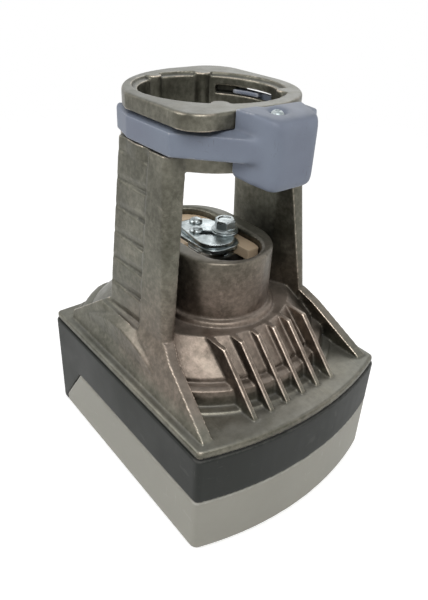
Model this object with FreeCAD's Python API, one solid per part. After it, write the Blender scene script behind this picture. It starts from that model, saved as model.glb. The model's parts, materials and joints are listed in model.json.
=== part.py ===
import FreeCAD, Part
import math
import os

V = FreeCAD.Vector

# Electric linear valve actuator, standing on its cover with the yoke up.
# Millimetres. Origin on the stem axis, at the resting face of the cover.
# +Z runs up the stem axis to the neck ring, and -Y points to the curved front.

# Plan of the plate, frame and cover
HALF_WIDTH = 75.0
CORNER_Y = -95.0
BACK_Y = 75.5
FRONT_SAG = 13.5
FRONT_CORNER_R = 4.0
BACK_CORNER_R = 3.5

# Heights
PARTING_Z = 41.5
FRAME_TOP_Z = 74.4
GASKET_T = 0.6
PLATE_T = 5.0
DECK_Z = 112.0
TOWER_TOP_Z = 154.0
FLANGE_TOP_Z = 241.5
FLANGE_BOTTOM_Z = FLANGE_TOP_Z - 8.5
GROOVE_BOTTOM_Z = FLANGE_TOP_Z - 24.5
RING_BOTTOM_Z = FLANGE_TOP_Z - 33.5

# Running and seating clearances
SEAT_GAP = 0.3
RUN_GAP = 0.05
SCREW_GAP = 0.1

# Plastic shells
WALL = 3.0
FLARE = 1.0
COVER_EDGE_R = 3.0
SLANT_TOP_Y = 43.5
SLANT_BOTTOM_Y = 68.0
PARTING_GAP = 0.4
SEAL_T = 1.6
SEAL_REACH = 3.0

# Screws of the shells
BOSS_R = 6.0
BOSS_WEB_T = 3.0
COVER_SCREW_R = 2.5
COVER_HEAD_R = 4.5
COVER_HEAD_H = 3.5
COVER_HEAD_SINK = 6.0
COVER_SCREW_END_Z = 60.0
DRIVER_SHARE = 0.45
COVER_SCREW_X = HALF_WIDTH - 11.0
COVER_SCREW_Y = (-86.0, 30.0)
COVER_SCREW_PLACES = [(x, y) for y in COVER_SCREW_Y for x in (-COVER_SCREW_X, COVER_SCREW_X)]
LUG_T = 5.0
LUG_R = 6.0
FRAME_SCREW_R = 2.0
FRAME_HEAD_R = 3.8
FRAME_HEAD_H = 3.0
FRAME_SCREW_GRIP = 7.0
FRAME_SCREW_X = HALF_WIDTH - 7.5
FRAME_SCREW_Y = (-45.0, 62.0)
FRAME_SCREW_PLACES = [(x, y) for y in FRAME_SCREW_Y for x in (-FRAME_SCREW_X, FRAME_SCREW_X)]
HOLE_OVERRUN = 5.0

# Cable entries in the rear wall
ENTRY_X = [-36.0, 0.0, 36.0]
ENTRY_Z = 34.0
ENTRY_R = 10.0
ENTRY_HEAD_AF = 24.0
ENTRY_HEAD_T = 4.0
ENTRY_DEPTH = 9.0
ENTRY_BORE_R = 6.5

# Casting: plate and cone
PLATE_INSET = 1.0
PLATE_EDGE_R = 2.0
SPIGOT_DEPTH = 4.0
SPIGOT_T = 3.0
SPIGOT_GAP = 0.4
STEP_R = 90.0
STEP_H = 1.3
LEDGE_OUT_R = 84.0
LEDGE_ROUND_R = 4.0
LEDGE_Z = 91.5
SLOPE_FOOT_R = 76.0
SLOPE_FOOT_Z = 94.0
DECK_R = 58.0
CAST_WALL = 5.0
SIDE_LIMIT = HALF_WIDTH - 9.0

# Casting: fins on the front of the cone
FIN_PITCH = 13.0
FIN_COUNT = 6
FIN_T = 3.2
FIN_INNER_Y = -47.0
FIN_CREST_Y = -64.0
FIN_FOOT_Y = -94.0

# Casting: tower
TOWER_HALF_X = 33.0
TOWER_HALF_Y = 47.0
TOWER_Y = -2.0
WELL_HALF_X = 21.5
WELL_HALF_Y = 42.0
TOWER_RIM_R = 2.5
TOWER_FOOT_H = 3.5
TOWER_FOOT_W = 4.0
RIM_STEP_DEPTH = 1.2
RIM_STEP_W = 1.2
WELL_FLOOR_Z = 106.0
HUB_FLOOR_T = 8.0

# Casting: legs and side walls
LEG_FOOT_Z = 108.0
LEG_TOP_Z = GROOVE_BOTTOM_Z - 0.4
LEG_OUT_X = (59.0, 50.5)
LEG_IN_X = (44.0, 37.0)
LEG_NOSE_IN_X = (52.5, 38.5)
LEG_FRONT_Y = (-41.0, -31.0)
LEG_KNEE_Y = (-20.0, -24.0)
LEG_BACK_Y = (23.5, 19.5)
LEG_EDGE_R = 4.5
LEG_NOSE_R = 4.5
GUSSET_CREST_Y = -47.0
GUSSET_KNEE_X = 62.5
GUSSET_FOOT_Y = -91.0
GUSSET_T = 7.0
GUSSET_BACK_Y = 60.0
SIDE_FOOT_OUT_X = HALF_WIDTH - 6.0
PANEL_FRONT_Y = -13.5
PANEL_SINK = 0.7
LEDGE_COUNT = 7
LEDGE_PITCH = (RING_BOTTOM_Z - LEG_FOOT_Z - 1.0) / (LEDGE_COUNT - 1)
LEDGE_H = (6.5, 4.0)
LEDGE_DEPTH = (2.6, 0.6)

# Casting: neck ring
RING_HALF_X = 51.0
RING_FRONT_Y = -52.0
RING_BACK_Y = 55.0
RING_FRONT_LEFT_R = 14.0
RING_BACK_RIGHT_R = 20.0
RING_FRONT_RIGHT_CUT = (49.0, 56.0, 21.5)
RING_BACK_LEFT_CUT = (61.0, 49.0, 27.0)
LOWER_RING_R = 50.0
RING_EDGE_R = 1.5
NECK_R = 37.0
BORE_R = 40.0
GROOVE_WALL = 3.5
RIB_ANGLES = (58.0, 105.0, -42.0, -121.0)
RIB_R = 5.0
RIM_LEDGE_R = 43.0
RIM_LEDGE_DEPTH = 2.0
SLOT_Z = (FLANGE_TOP_Z - 12.0, FLANGE_TOP_Z - 7.0)
SLOT_ANGLES = (-14.0, 46.0)

# Clamp bow
BOW_BOTTOM_Z = GROOVE_BOTTOM_Z + 1.5
BOW_TOP_Z = FLANGE_BOTTOM_Z - 0.5
BOW_EDGE_Z = BOW_TOP_Z - 2.2
BOW_TOP_INSET = 6.0
ARM_OUT_X = 52.0
ARM_IN_X = 44.2
ARM_KNEE_Y = -35.0
ARM_BACK_Y = 24.0
ARM_REAR_CUT = (6.0, 20.0)
BOW_FRONT_Y = -74.0
BLOCK_X = -3.5
BLOCK_BACK_HALF_X = 22.5
BLOCK_FRONT_HALF_X = 14.5
BLOCK_TOP_BACK_Z = FLANGE_TOP_Z + 1.0
BLOCK_TOP_FRONT_Z = FLANGE_TOP_Z - 1.5
BLOCK_BOTTOM_FRONT_Z = BOW_BOTTOM_Z - 15.0
BLOCK_BOTTOM_BACK_Z = BOW_BOTTOM_Z - 9.5
BLOCK_TOP_R = 6.0
BLOCK_EDGE_R = 3.0
PAD_Y = (4.0, 22.0)
PAD_GAP = 0.9

# Clamp screw and wedge nut
CLAMP_SCREW_X = -6.5
CLAMP_SCREW_Y = -60.5
CLAMP_SCREW_R = 2.5
CLAMP_HEAD_R = 3.8
CLAMP_HEAD_H = 2.6
CLAMP_RECESS_R = 4.7
CLAMP_SEAT_Z = BLOCK_TOP_FRONT_Z - 1.2
CLAMP_SCREW_END_Z = BOW_BOTTOM_Z - 7.5
WEDGE_HALF_X = 7.0
WEDGE_FRONT_Y = -67.0
WEDGE_BOTTOM_Z = BOW_BOTTOM_Z - 5.5
WEDGE_H = 8.0
WEDGE_TRAVEL = 4.8
WEDGE_SLOPE = 1.5

# Drive: spindle and its bearings
SPINDLE_R = 7.0
SPINDLE_BOTTOM_Z = 32.0
SPINDLE_TOP_Z = 137.0
BUSH_R = 10.0
BUSH_FLANGE_R = 13.0
BUSH_FLANGE_T = 2.0
BEARING_R = 16.0
BEARING_T = 8.0
BEARING_IN_R = 10.0
RACE_T = 2.5

# Drive: gear plates
UPPER_PLATE_Z = 68.0
LOWER_PLATE_Z = 38.0
GEAR_PLATE_T = 2.5
GEAR_PLATE_X = (-40.0, 57.0)
GEAR_PLATE_Y = (-78.0, 40.0)
PILLAR_R = 4.0
PILLAR_INSET = 7.5
PLATE_BOSS_R = 5.0
PLATE_SCREW_END_Z = 77.5
PLATE_SCREW_R = 2.0
PLATE_HEAD_R = 3.5
PLATE_HEAD_H = 2.4

# Drive: gears
SLOW_MODULE = 1.25
FAST_MODULE = 1.0
SPINDLE_TEETH = 48
SMALL_TEETH = 12
SECOND_TEETH = 40
FIRST_TEETH = 36
SPINDLE_GEAR_Z = (51.0, 58.0)
SPINDLE_HUB_R = 12.0
SECOND_WHEEL_Z = (62.0, 66.0)
FIRST_WHEEL_Z = (44.0, 48.0)
MOTOR_PINION_Z = (43.0, 49.0)
SECOND_ANGLE = -70.0
FIRST_ANGLE = -40.0
MOTOR_ANGLE = 180.0
AXLE_R = 2.0
TOOTH_SLACK = 0.24
GEAR_HUB_R = 5.0

# Motor
MOTOR_R = 25.0
MOTOR_H = 26.0
MOTOR_BOSS_R = 6.0
MOTOR_SHAFT_R = 1.5
MOTOR_EAR_PITCH = 58.0
MOTOR_EAR_R = 5.0
MOTOR_EAR_T = 2.0
MOTOR_SCREW_R = 1.5
MOTOR_SCREW_HEAD = (2.8, 1.8)

# Electrics
BOARD_Z = 24.0
BOARD_T = 1.6
BOARD_X = (-58.0, 58.0)
BOARD_Y = (8.0, 60.0)
BOARD_SCREW_PLACES = [(-34.0, 14.0), (50.0, 14.0), (-14.0, 34.0), (30.0, 34.0)]
BOARD_SCREW_R = 1.5
BOARD_SCREW_HEAD = (2.8, 1.8)
BOARD_SCREW_GRIP = 7.0
STANDOFF_R = 3.2
TERMINAL_SIZE = (72.0, 14.0, 14.0)
TERMINAL_Y = 50.0
TERMINAL_COUNT = 8
CAPACITOR_R = 6.5
CAPACITOR_LENGTH = 32.0
CAPACITOR_PLACE = (-49.5, 30.0)
CAPACITOR_SADDLE = (6.0, 24.0, 2.0)
SWITCH_SIZE = (8.0, 20.0, 8.0)
SWITCH_X = -26.0
SWITCH_Y = [-10.0, 14.0]

# Coupling in the tower
CARRIER_TOP_Z = 142.0
CARRIER_H = 12.0
CARRIER_HALF = 13.0
CARRIER_CORNER_R = 4.0
SHOULDER_W = 7.0
CARRIER_NECK_H = 4.0
GUIDE_GAP = 0.4
GUIDE_LEFT_END_Y = -1.5
GUIDE_STRIP_X = 10.5
GUIDE_FRONT_Y = -31.0
PLATE_STEEL_T = 3.0
CARRIER_PLATE_PLACE = (2.5, 3.0)
CARRIER_PLATE_HALF = (13.5, 24.5)
CARRIER_PLATE_R = 10.0
CLAMP_PLATE_PLACE = (3.0, 0.5)
CLAMP_PLATE_HALF = (12.5, 21.0)
CLAMP_PLATE_R = 11.0
CLAMP_PLATE_TURN = -8.0
RIVET_R = 2.0
RIVET_HEAD_R = 3.4
RIVET_HEAD_H = 2.2
RIVET_PLACES = [(-3.0, 4.5), (5.5, 16.0)]
STEM_SLOT_END = (4.5, -4.5)
STEM_HOLE_R = 3.5
COUPLING_BOLT = (12.0, -6.0)
COUPLING_BOLT_R = 3.0
COUPLING_BOLT_END_Z = 135.0
COUPLING_BOLT_AF = 12.0
COUPLING_HEAD_H = 6.0
COUPLING_FLANGE_R = 8.4
COUPLING_FLANGE_T = 1.4
WASHER_R = 8.8
WASHER_T = 1.4
CLIP_PLACE = (6.0, -17.8)
CLIP_SIZE = (8.0, 2.2, 3.4)

# Values worked out from the sizes above
CAST_Z = FRAME_TOP_Z + GASKET_T
PLATE_TOP_Z = CAST_Z + PLATE_T
FRONT_R = (HALF_WIDTH ** 2 + FRONT_SAG ** 2) / (2.0 * FRONT_SAG)
FRONT_CENTRE_Y = CORNER_Y - FRONT_SAG + FRONT_R
GROOVE_R = BORE_R + GROOVE_WALL
CARRIER_PLATE_Z = CARRIER_TOP_Z + CARRIER_NECK_H
CLAMP_PLATE_Z = CARRIER_PLATE_Z + PLATE_STEEL_T
COUPLING_TOP_Z = CLAMP_PLATE_Z + PLATE_STEEL_T


def box(x0, x1, y0, y1, z0, z1):
    return Part.makeBox(x1 - x0, y1 - y0, z1 - z0, V(x0, y0, z0))


def rod(radius, z0, z1, x=0.0, y=0.0):
    return Part.makeCylinder(radius, z1 - z0, V(x, y, z0))


def tube(outer, inner, z0, z1, x=0.0, y=0.0):
    return rod(outer, z0, z1, x, y).cut(rod(inner, z0 - 1.0, z1 + 1.0, x, y))


def polygon_face(points):
    corners = [V(*point) for point in points]
    return Part.Face(Part.makePolygon(corners + [corners[0]]))


def prism_x(points_yz, x0, x1):
    return polygon_face([(x0, y, z) for y, z in points_yz]).extrude(V(x1 - x0, 0, 0))


def prism_z(points_xy, z0, z1):
    return polygon_face([(x, y, z0) for x, y in points_xy]).extrude(V(0, 0, z1 - z0))


def revolve(points_rz):
    face = polygon_face([(r, 0.0, z) for r, z in points_rz])
    return face.revolve(V(0, 0, 0), V(0, 0, 1), 360.0)


def hexagon(across_flats, z0, z1, x=0.0, y=0.0):
    radius = across_flats / math.sqrt(3.0)
    corners = [(x + radius * math.cos(math.radians(60.0 * k)),
                y + radius * math.sin(math.radians(60.0 * k))) for k in range(6)]
    return prism_z(corners, z0, z1)


def mirror_x(shape):
    return shape.mirror(V(0, 0, 0), V(1, 0, 0))


def fuse_all(shapes):
    return shapes[0].multiFuse(shapes[1:]).removeSplitter()


def cut_all(shape, tools):
    return shape.cut(Part.makeCompound(tools))


def edges_where(shape, test):
    return [edge for edge in shape.Edges if test(edge)]


def at_height(edge, z):
    ends = edge.BoundBox
    return abs(ends.ZMin - z) < 1e-4 and abs(ends.ZMax - z) < 1e-4


def is_vertical(edge):
    ends = edge.BoundBox
    return ends.ZLength > 1.0 and ends.XLength < 1e-4 and ends.YLength < 1e-4


def outline_wire(inset, z):
    """Plan outline at a height: straight sides and back, and a bowed front."""
    half = HALF_WIDTH - inset
    back = BACK_Y - inset
    front_r = FRONT_R - inset
    corner_r = max(FRONT_CORNER_R - inset, 1.0)
    back_r = max(BACK_CORNER_R - inset, 1.0)
    small_x = half - corner_r
    small_y = FRONT_CENTRE_Y - math.sqrt((front_r - corner_r) ** 2 - small_x ** 2)
    centre = V(small_x, small_y, z)
    outward = (centre - V(0, FRONT_CENTRE_Y, z)).normalize()
    touch = centre + outward * corner_r
    bend = centre + (outward + V(1, 0, 0)).normalize() * corner_r
    root = math.sqrt(0.5) * back_r

    def flip(point):
        return V(-point.x, point.y, point.z)

    side_low = V(half, small_y, z)
    side_high = V(half, back - back_r, z)
    back_end = V(half - back_r, back, z)
    back_bend = V(half - back_r + root, back - back_r + root, z)
    nose = V(0, FRONT_CENTRE_Y - front_r, z)
    edges = [
        Part.Arc(touch, bend, side_low).toShape(),
        Part.LineSegment(side_low, side_high).toShape(),
        Part.Arc(side_high, back_bend, back_end).toShape(),
        Part.LineSegment(back_end, flip(back_end)).toShape(),
        Part.Arc(flip(back_end), flip(back_bend), flip(side_high)).toShape(),
        Part.LineSegment(flip(side_high), flip(side_low)).toShape(),
        Part.Arc(flip(side_low), flip(bend), flip(touch)).toShape(),
        Part.Arc(flip(touch), nose, touch).toShape(),
    ]
    return Part.Wire(edges)


def outline_prism(inset, z0, z1):
    return Part.Face(outline_wire(inset, z0)).extrude(V(0, 0, z1 - z0))


def outline_loft(inset0, z0, inset1, z1):
    return Part.makeLoft([outline_wire(inset0, z0), outline_wire(inset1, z1)], True, True)


def stadium_prism(half_x, half_y, z0, z1, centre_y=0.0):
    """Oval with straight sides along Y."""
    straight = half_y - half_x
    body = box(-half_x, half_x, centre_y - straight, centre_y + straight, z0, z1)
    ends = [rod(half_x, z0, z1, 0.0, centre_y + side * straight) for side in (-1, 1)]
    return fuse_all([body] + ends)


def parting_tool(gap):
    """Space of the cover: low at the front, slanting down at the rear."""
    top = PARTING_Z - gap
    far = 2.0 * HALF_WIDTH
    profile = [(-far, -1.0), (SLANT_BOTTOM_Y - gap, -1.0), (SLANT_BOTTOM_Y - gap, 7.0),
               (SLANT_TOP_Y - gap, top), (-far, top)]
    return prism_x(profile, -far, far)


def shell_solids():
    """Outer body and hollow of the two plastic shells, before they part."""
    outer = outline_loft(-FLARE, 0.0, 0.0, FRAME_TOP_Z)
    low_edges = edges_where(outer, lambda edge: at_height(edge, 0.0))
    outer = outer.makeFillet(COVER_EDGE_R, low_edges)
    inner = outline_loft(WALL - FLARE, WALL, WALL, FRAME_TOP_Z + 1.0)
    shell = outer.cut(inner)
    return shell.multiFuse(cover_bosses())


def cover_bosses():
    """Screw posts of both shells, each tied to its side wall by a web."""
    low = 0.5 * WALL
    high = COVER_SCREW_END_Z + 4.0
    posts = []
    for x, y in COVER_SCREW_PLACES:
        edge = math.copysign(HALF_WIDTH - 0.5 * WALL, x)
        x0, x1 = sorted((x, edge))
        web = box(x0, x1, y - 0.5 * BOSS_WEB_T, y + 0.5 * BOSS_WEB_T, low, high)
        web = web.cut(box(-HALF_WIDTH, HALF_WIDTH, -2.0 * HALF_WIDTH, HALF_WIDTH,
                          PARTING_Z - SEAL_REACH - SEAT_GAP, PARTING_Z + SEAL_REACH + SEAT_GAP))
        posts.append(rod(BOSS_R, low, high, x, y).fuse(web))
    return posts


def cover_screw_holes():
    shank = COVER_SCREW_R + SCREW_GAP
    head = COVER_HEAD_R + SEAT_GAP
    holes = [rod(shank, -1.0, COVER_SCREW_END_Z + 1.0, x, y) for x, y in COVER_SCREW_PLACES]
    sinks = [rod(head, -1.0, COVER_HEAD_SINK, x, y) for x, y in COVER_SCREW_PLACES]
    return holes + sinks


def frame_lugs():
    top = CAST_Z - SPIGOT_DEPTH
    lugs = []
    for x, y in FRAME_SCREW_PLACES:
        side = math.copysign(1.0, x)
        edge = side * (HALF_WIDTH - 0.5 * WALL)
        low, high = sorted((x, edge))
        lugs.append(rod(LUG_R, top - LUG_T, top, x, y))
        lugs.append(box(low, high, y - LUG_R, y + LUG_R, top - LUG_T, top))
    keep = outline_prism(0.5 * WALL, top - LUG_T, top)
    return [lug.common(keep) for lug in lugs]


def make_frame(shell):
    frame = shell.cut(parting_tool(0.0))
    frame = fuse_all([frame] + frame_lugs())
    holes = cover_screw_holes()
    low = CAST_Z - SPIGOT_DEPTH - LUG_T - HOLE_OVERRUN
    holes += [rod(FRAME_SCREW_R + SCREW_GAP, low, CAST_Z, x, y) for x, y in FRAME_SCREW_PLACES]
    for x in ENTRY_X:
        base = V(x, BACK_Y - 2.0 * WALL, ENTRY_Z)
        holes.append(Part.makeCylinder(ENTRY_R + SCREW_GAP, 4.0 * WALL, base, V(0, 1, 0)))
    return cut_all(frame, holes)


def make_cover(shell):
    cover = shell.common(parting_tool(PARTING_GAP))
    return cut_all(cover, cover_screw_holes())


def make_cover_seal():
    """Strip inside the walls, over the front and side part of the joint."""
    inset = WALL + SEAT_GAP
    low = PARTING_Z - SEAL_REACH
    high = PARTING_Z + SEAL_REACH
    strip = outline_prism(inset, low, high).cut(outline_prism(inset + SEAL_T, low - 1.0, high + 1.0))
    strip = strip.common(box(-HALF_WIDTH, HALF_WIDTH, -2.0 * HALF_WIDTH, SLANT_TOP_Y, low, high))
    reliefs = [rod(BOSS_R + SEAT_GAP, low - 1.0, high + 1.0, x, y) for x, y in COVER_SCREW_PLACES]
    return strip.cut(Part.makeCompound(reliefs))


def make_gasket():
    gasket = outline_prism(PLATE_INSET + 0.4, FRAME_TOP_Z, CAST_Z)
    return gasket.cut(outline_prism(WALL, FRAME_TOP_Z - 1.0, CAST_Z + 1.0))


def cap_screw(x, y, head_z, head_r, head_h, shank_r, end_z):
    """Screw driven from below, with a socket in its round head."""
    low = head_z - head_h
    driver = hexagon(head_r, low, low + DRIVER_SHARE * head_h, x, y)
    return plain_screw(x, y, head_z, head_r, head_h, shank_r, end_z).cut(driver)


def plain_screw(x, y, head_z, head_r, head_h, shank_r, end_z):
    """Small hidden screw along Z, with a plain round head."""
    head = rod(head_r, head_z - head_h, head_z, x, y)
    return fuse_all([head, rod(shank_r, head_z, end_z, x, y)])


def make_cover_screws():
    return Part.makeCompound([
        cap_screw(x, y, COVER_HEAD_SINK, COVER_HEAD_R, COVER_HEAD_H, COVER_SCREW_R, COVER_SCREW_END_Z)
        for x, y in COVER_SCREW_PLACES])


def make_frame_screws():
    seat = CAST_Z - SPIGOT_DEPTH - LUG_T
    return Part.makeCompound([
        plain_screw(x, y, seat, FRAME_HEAD_R, FRAME_HEAD_H, FRAME_SCREW_R, seat + FRAME_SCREW_GRIP)
        for x, y in FRAME_SCREW_PLACES])


def make_cable_plugs():
    plugs = []
    for x in ENTRY_X:
        head = hexagon(ENTRY_HEAD_AF, 0.0, ENTRY_HEAD_T)
        stub = rod(ENTRY_R, -ENTRY_DEPTH, 0.0)
        hollow = rod(ENTRY_BORE_R, -ENTRY_DEPTH - 1.0, -1.0)
        plug = fuse_all([head, stub]).cut(hollow)
        plug.rotate(V(0, 0, 0), V(1, 0, 0), -90.0)
        plug.translate(V(x, BACK_Y + FLARE, ENTRY_Z))
        plugs.append(plug)
    return Part.makeCompound(plugs)


def cast_plate():
    top = PLATE_TOP_Z
    plate = outline_prism(PLATE_INSET, CAST_Z, top)
    rim = edges_where(plate, lambda edge: at_height(edge, top))
    plate = plate.makeFillet(PLATE_EDGE_R, rim)
    outer = WALL + SPIGOT_GAP
    spigot = outline_prism(outer, CAST_Z - SPIGOT_DEPTH, CAST_Z)
    spigot = spigot.cut(outline_prism(outer + SPIGOT_T, 0.0, CAST_Z + 1.0))
    return fuse_all([plate, spigot])


def cone_profile():
    top = PLATE_TOP_Z
    floor = top + STEP_H
    knee = math.sqrt(0.5) * LEDGE_ROUND_R
    centre_r = LEDGE_OUT_R - LEDGE_ROUND_R
    centre_z = LEDGE_Z - LEDGE_ROUND_R
    return [(0.0, CAST_Z + 1.0), (STEP_R + STEP_H, CAST_Z + 1.0), (STEP_R + STEP_H, top), (STEP_R, floor),
            (LEDGE_OUT_R + 1.0, floor), (LEDGE_OUT_R, centre_z),
            (centre_r + knee, centre_z + knee), (centre_r, LEDGE_Z),
            (SLOPE_FOOT_R, LEDGE_Z), (SLOPE_FOOT_R, SLOPE_FOOT_Z), (DECK_R, DECK_Z), (0.0, DECK_Z)]


def cast_cone():
    cone = revolve(cone_profile())
    field = outline_prism(PLATE_INSET + PLATE_EDGE_R, CAST_Z, DECK_Z)
    limits = box(-SIDE_LIMIT, SIDE_LIMIT, -2.0 * STEP_R, 2.0 * STEP_R, CAST_Z, DECK_Z)
    return cone.common(field).common(limits)


def cast_fins():
    top = DECK_Z
    foot = PLATE_TOP_Z
    profile = [(FIN_INNER_Y, CAST_Z + 1.0), (FIN_FOOT_Y, CAST_Z + 1.0), (FIN_FOOT_Y, foot + 1.0),
               (FIN_CREST_Y, top), (FIN_INNER_Y, top)]
    fins = []
    for index in range(FIN_COUNT):
        x = (index - 0.5 * (FIN_COUNT - 1)) * FIN_PITCH
        fins.append(prism_x(profile, x - 0.5 * FIN_T, x + 0.5 * FIN_T))
    return fins


def cast_tower():
    tower = stadium_prism(TOWER_HALF_X, TOWER_HALF_Y, WELL_FLOOR_Z - HUB_FLOOR_T, TOWER_TOP_Z, TOWER_Y)
    rim = edges_where(tower, lambda edge: at_height(edge, TOWER_TOP_Z))
    tower = tower.makeFillet(TOWER_RIM_R, rim)
    foot = stadium_prism(TOWER_HALF_X + TOWER_FOOT_W, TOWER_HALF_Y + TOWER_FOOT_W,
                         DECK_Z - 1.0, DECK_Z + TOWER_FOOT_H, TOWER_Y)
    shoulder = edges_where(foot, lambda edge: at_height(edge, DECK_Z + TOWER_FOOT_H))
    foot = foot.makeFillet(TOWER_FOOT_H - 0.5, shoulder)
    return [tower, foot]


def leg_value(ends, z):
    """Size of the leg at a height, from its value at the foot and at the ring."""
    share = (z - LEG_FOOT_Z) / (RING_BOTTOM_Z - LEG_FOOT_Z)
    return ends[0] + share * (ends[1] - ends[0])


def leg_wire(z):
    out_x = leg_value(LEG_OUT_X, z)
    in_x = leg_value(LEG_IN_X, z)
    front = leg_value(LEG_FRONT_Y, z)
    back = leg_value(LEG_BACK_Y, z)
    corners = [V(leg_value(LEG_NOSE_IN_X, z), front, z), V(out_x, front, z), V(out_x, back, z),
               V(in_x, back, z), V(in_x, leg_value(LEG_KNEE_Y, z), z)]
    return Part.makePolygon(corners + [corners[0]])


def cast_leg():
    """Right leg: flat outer face, thin nose in front, thicker behind."""
    low = PLATE_TOP_Z - 2.0
    leg = Part.makeLoft([leg_wire(low), leg_wire(LEG_TOP_Z)], True, True)
    long_edges = edges_where(leg, lambda edge: edge.BoundBox.ZLength > 0.5 * LEG_TOP_Z)
    nose_y = leg_value(LEG_FRONT_Y, LEG_TOP_Z) + 1.0
    nose = [edge for edge in long_edges if edge.BoundBox.YMax < nose_y
            and edge.BoundBox.XMin > leg_value(LEG_OUT_X, LEG_TOP_Z) - 1.0]
    leg = leg.makeFillet(LEG_NOSE_R, nose)
    rear = edges_where(leg, lambda edge: edge.BoundBox.ZLength > 0.5 * LEG_TOP_Z
                       and edge.BoundBox.YMin > 0.0)
    return leg.makeFillet(LEG_EDGE_R, rear)


def cast_side_wall():
    """Drafted wall under the leg, with its sloping gusset to the front."""
    low = PLATE_TOP_Z - 1.0
    nose_y = leg_value(LEG_FRONT_Y, LEG_FOOT_Z)
    back_y = leg_value(LEG_BACK_Y, LEG_FOOT_Z)
    profile = [(GUSSET_FOOT_Y, low), (GUSSET_FOOT_Y, PLATE_TOP_Z + 1.0), (GUSSET_CREST_Y, LEG_FOOT_Z),
               (nose_y, LEG_FOOT_Z + 4.0), (back_y, LEG_FOOT_Z + 4.0),
               (GUSSET_BACK_Y, PLATE_TOP_Z + 6.0), (GUSSET_BACK_Y, low)]
    slab = prism_x(profile, 0.5 * HALF_WIDTH, HALF_WIDTH)
    top_x = leg_value(LEG_OUT_X, LEG_FOOT_Z + 4.0)
    skin = [(SIDE_FOOT_OUT_X - GUSSET_T, low), (SIDE_FOOT_OUT_X, low), (GUSSET_KNEE_X, LEG_FOOT_Z - 3.0),
            (top_x, LEG_FOOT_Z + 4.0), (top_x - GUSSET_T, LEG_FOOT_Z + 4.0),
            (GUSSET_KNEE_X - GUSSET_T, LEG_FOOT_Z - 3.0)]
    far = 2.0 * STEP_R
    band = polygon_face([(x, -far, z) for x, z in skin]).extrude(V(0, 2.0 * far, 0))
    return slab.common(band)


def ledge_profile(index, y, height, depth):
    """Section of one sloped recess at a place along the leg, deepest at its foot."""
    z0 = RING_BOTTOM_Z - index * LEDGE_PITCH
    z1 = z0 + height
    low_x = leg_value(LEG_OUT_X, z0) - PANEL_SINK
    high_x = leg_value(LEG_OUT_X, z1) - PANEL_SINK
    clear = PANEL_SINK + 2.0
    corners = [V(high_x, y, z1), V(high_x + clear, y, z1), V(low_x + clear, y, z0), V(low_x - depth, y, z0)]
    return Part.makePolygon(corners + [corners[0]])


def leg_ledges():
    """Sloped recesses in the outer face of the leg, running out to the rear."""
    back = leg_value(LEG_BACK_Y, LEG_FOOT_Z)
    return [Part.makeLoft([ledge_profile(index, PANEL_FRONT_Y, LEDGE_H[0], LEDGE_DEPTH[0]),
                           ledge_profile(index, back, LEDGE_H[1], LEDGE_DEPTH[1])], True, True)
            for index in range(LEDGE_COUNT)]


def leg_panel():
    """Thin layer taken off the outer face, behind the smooth front of the leg."""
    low, high = LEG_FOOT_Z, LEG_TOP_Z + 1.0
    clear = PANEL_SINK + 2.0
    inner = [(leg_value(LEG_OUT_X, z) - PANEL_SINK, z) for z in (low, high)]
    outer = [(x + clear, z) for x, z in reversed(inner)]
    face = polygon_face([(x, PANEL_FRONT_Y, z) for x, z in inner + outer])
    return face.extrude(V(0, 2.0 * leg_value(LEG_BACK_Y, low), 0))


def ring_wire(z):
    """Neck ring outline: two tight corners, and two cut back by wide arcs."""
    left, right = -RING_HALF_X, RING_HALF_X
    front, back = RING_FRONT_Y, RING_BACK_Y
    diagonal = math.sqrt(0.5)
    front_r, back_r = RING_FRONT_LEFT_R, RING_BACK_RIGHT_R
    front_x, front_y, front_depth = RING_FRONT_RIGHT_CUT
    back_x, back_y, back_depth = RING_BACK_LEFT_CUT

    def at(x, y):
        return V(x, y, z)

    left_low = at(left, front + front_r)
    corner_low = at(left + front_r * (1.0 - diagonal), front + front_r * (1.0 - diagonal))
    front_left = at(left + front_r, front)
    front_right = at(right - front_x, front)
    cut_front = at(right - front_depth * diagonal, front + front_depth * diagonal)
    right_low = at(right, front + front_y)
    right_high = at(right, back - back_r)
    corner_high = at(right - back_r * (1.0 - diagonal), back - back_r * (1.0 - diagonal))
    back_right = at(right - back_r, back)
    back_left = at(left + back_x, back)
    cut_back = at(left + back_depth * diagonal, back - back_depth * diagonal)
    left_high = at(left, back - back_y)
    edges = [
        Part.Arc(left_low, corner_low, front_left).toShape(),
        Part.LineSegment(front_left, front_right).toShape(),
        Part.Arc(front_right, cut_front, right_low).toShape(),
        Part.LineSegment(right_low, right_high).toShape(),
        Part.Arc(right_high, corner_high, back_right).toShape(),
        Part.LineSegment(back_right, back_left).toShape(),
        Part.Arc(back_left, cut_back, left_high).toShape(),
        Part.LineSegment(left_high, left_low).toShape(),
    ]
    return Part.Wire(edges)


def ring_blank(z0, z1):
    return Part.Face(ring_wire(z0)).extrude(V(0, 0, z1 - z0))


def ring_ribs():
    """Round centring ribs inside the bore, down to the register's radius."""
    keep = rod(GROOVE_R - 0.2, RING_BOTTOM_Z, FLANGE_TOP_Z)
    ribs = []
    for angle in RIB_ANGLES:
        x, y = polar((0.0, 0.0), NECK_R + RIB_R, angle)
        ribs.append(rod(RIB_R, RING_BOTTOM_Z + 1.0, FLANGE_TOP_Z, x, y).common(keep))
    return ribs


def sector(angles, inner, outer, z0, z1):
    start, end = angles
    middle = 0.5 * (start + end)
    points = [(0.0, 0.0)]
    for angle in (start, middle, end):
        points.append((3.0 * outer * math.cos(math.radians(angle)), 3.0 * outer * math.sin(math.radians(angle))))
    return prism_z(points, z0, z1).common(tube(outer, inner, z0, z1))


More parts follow.
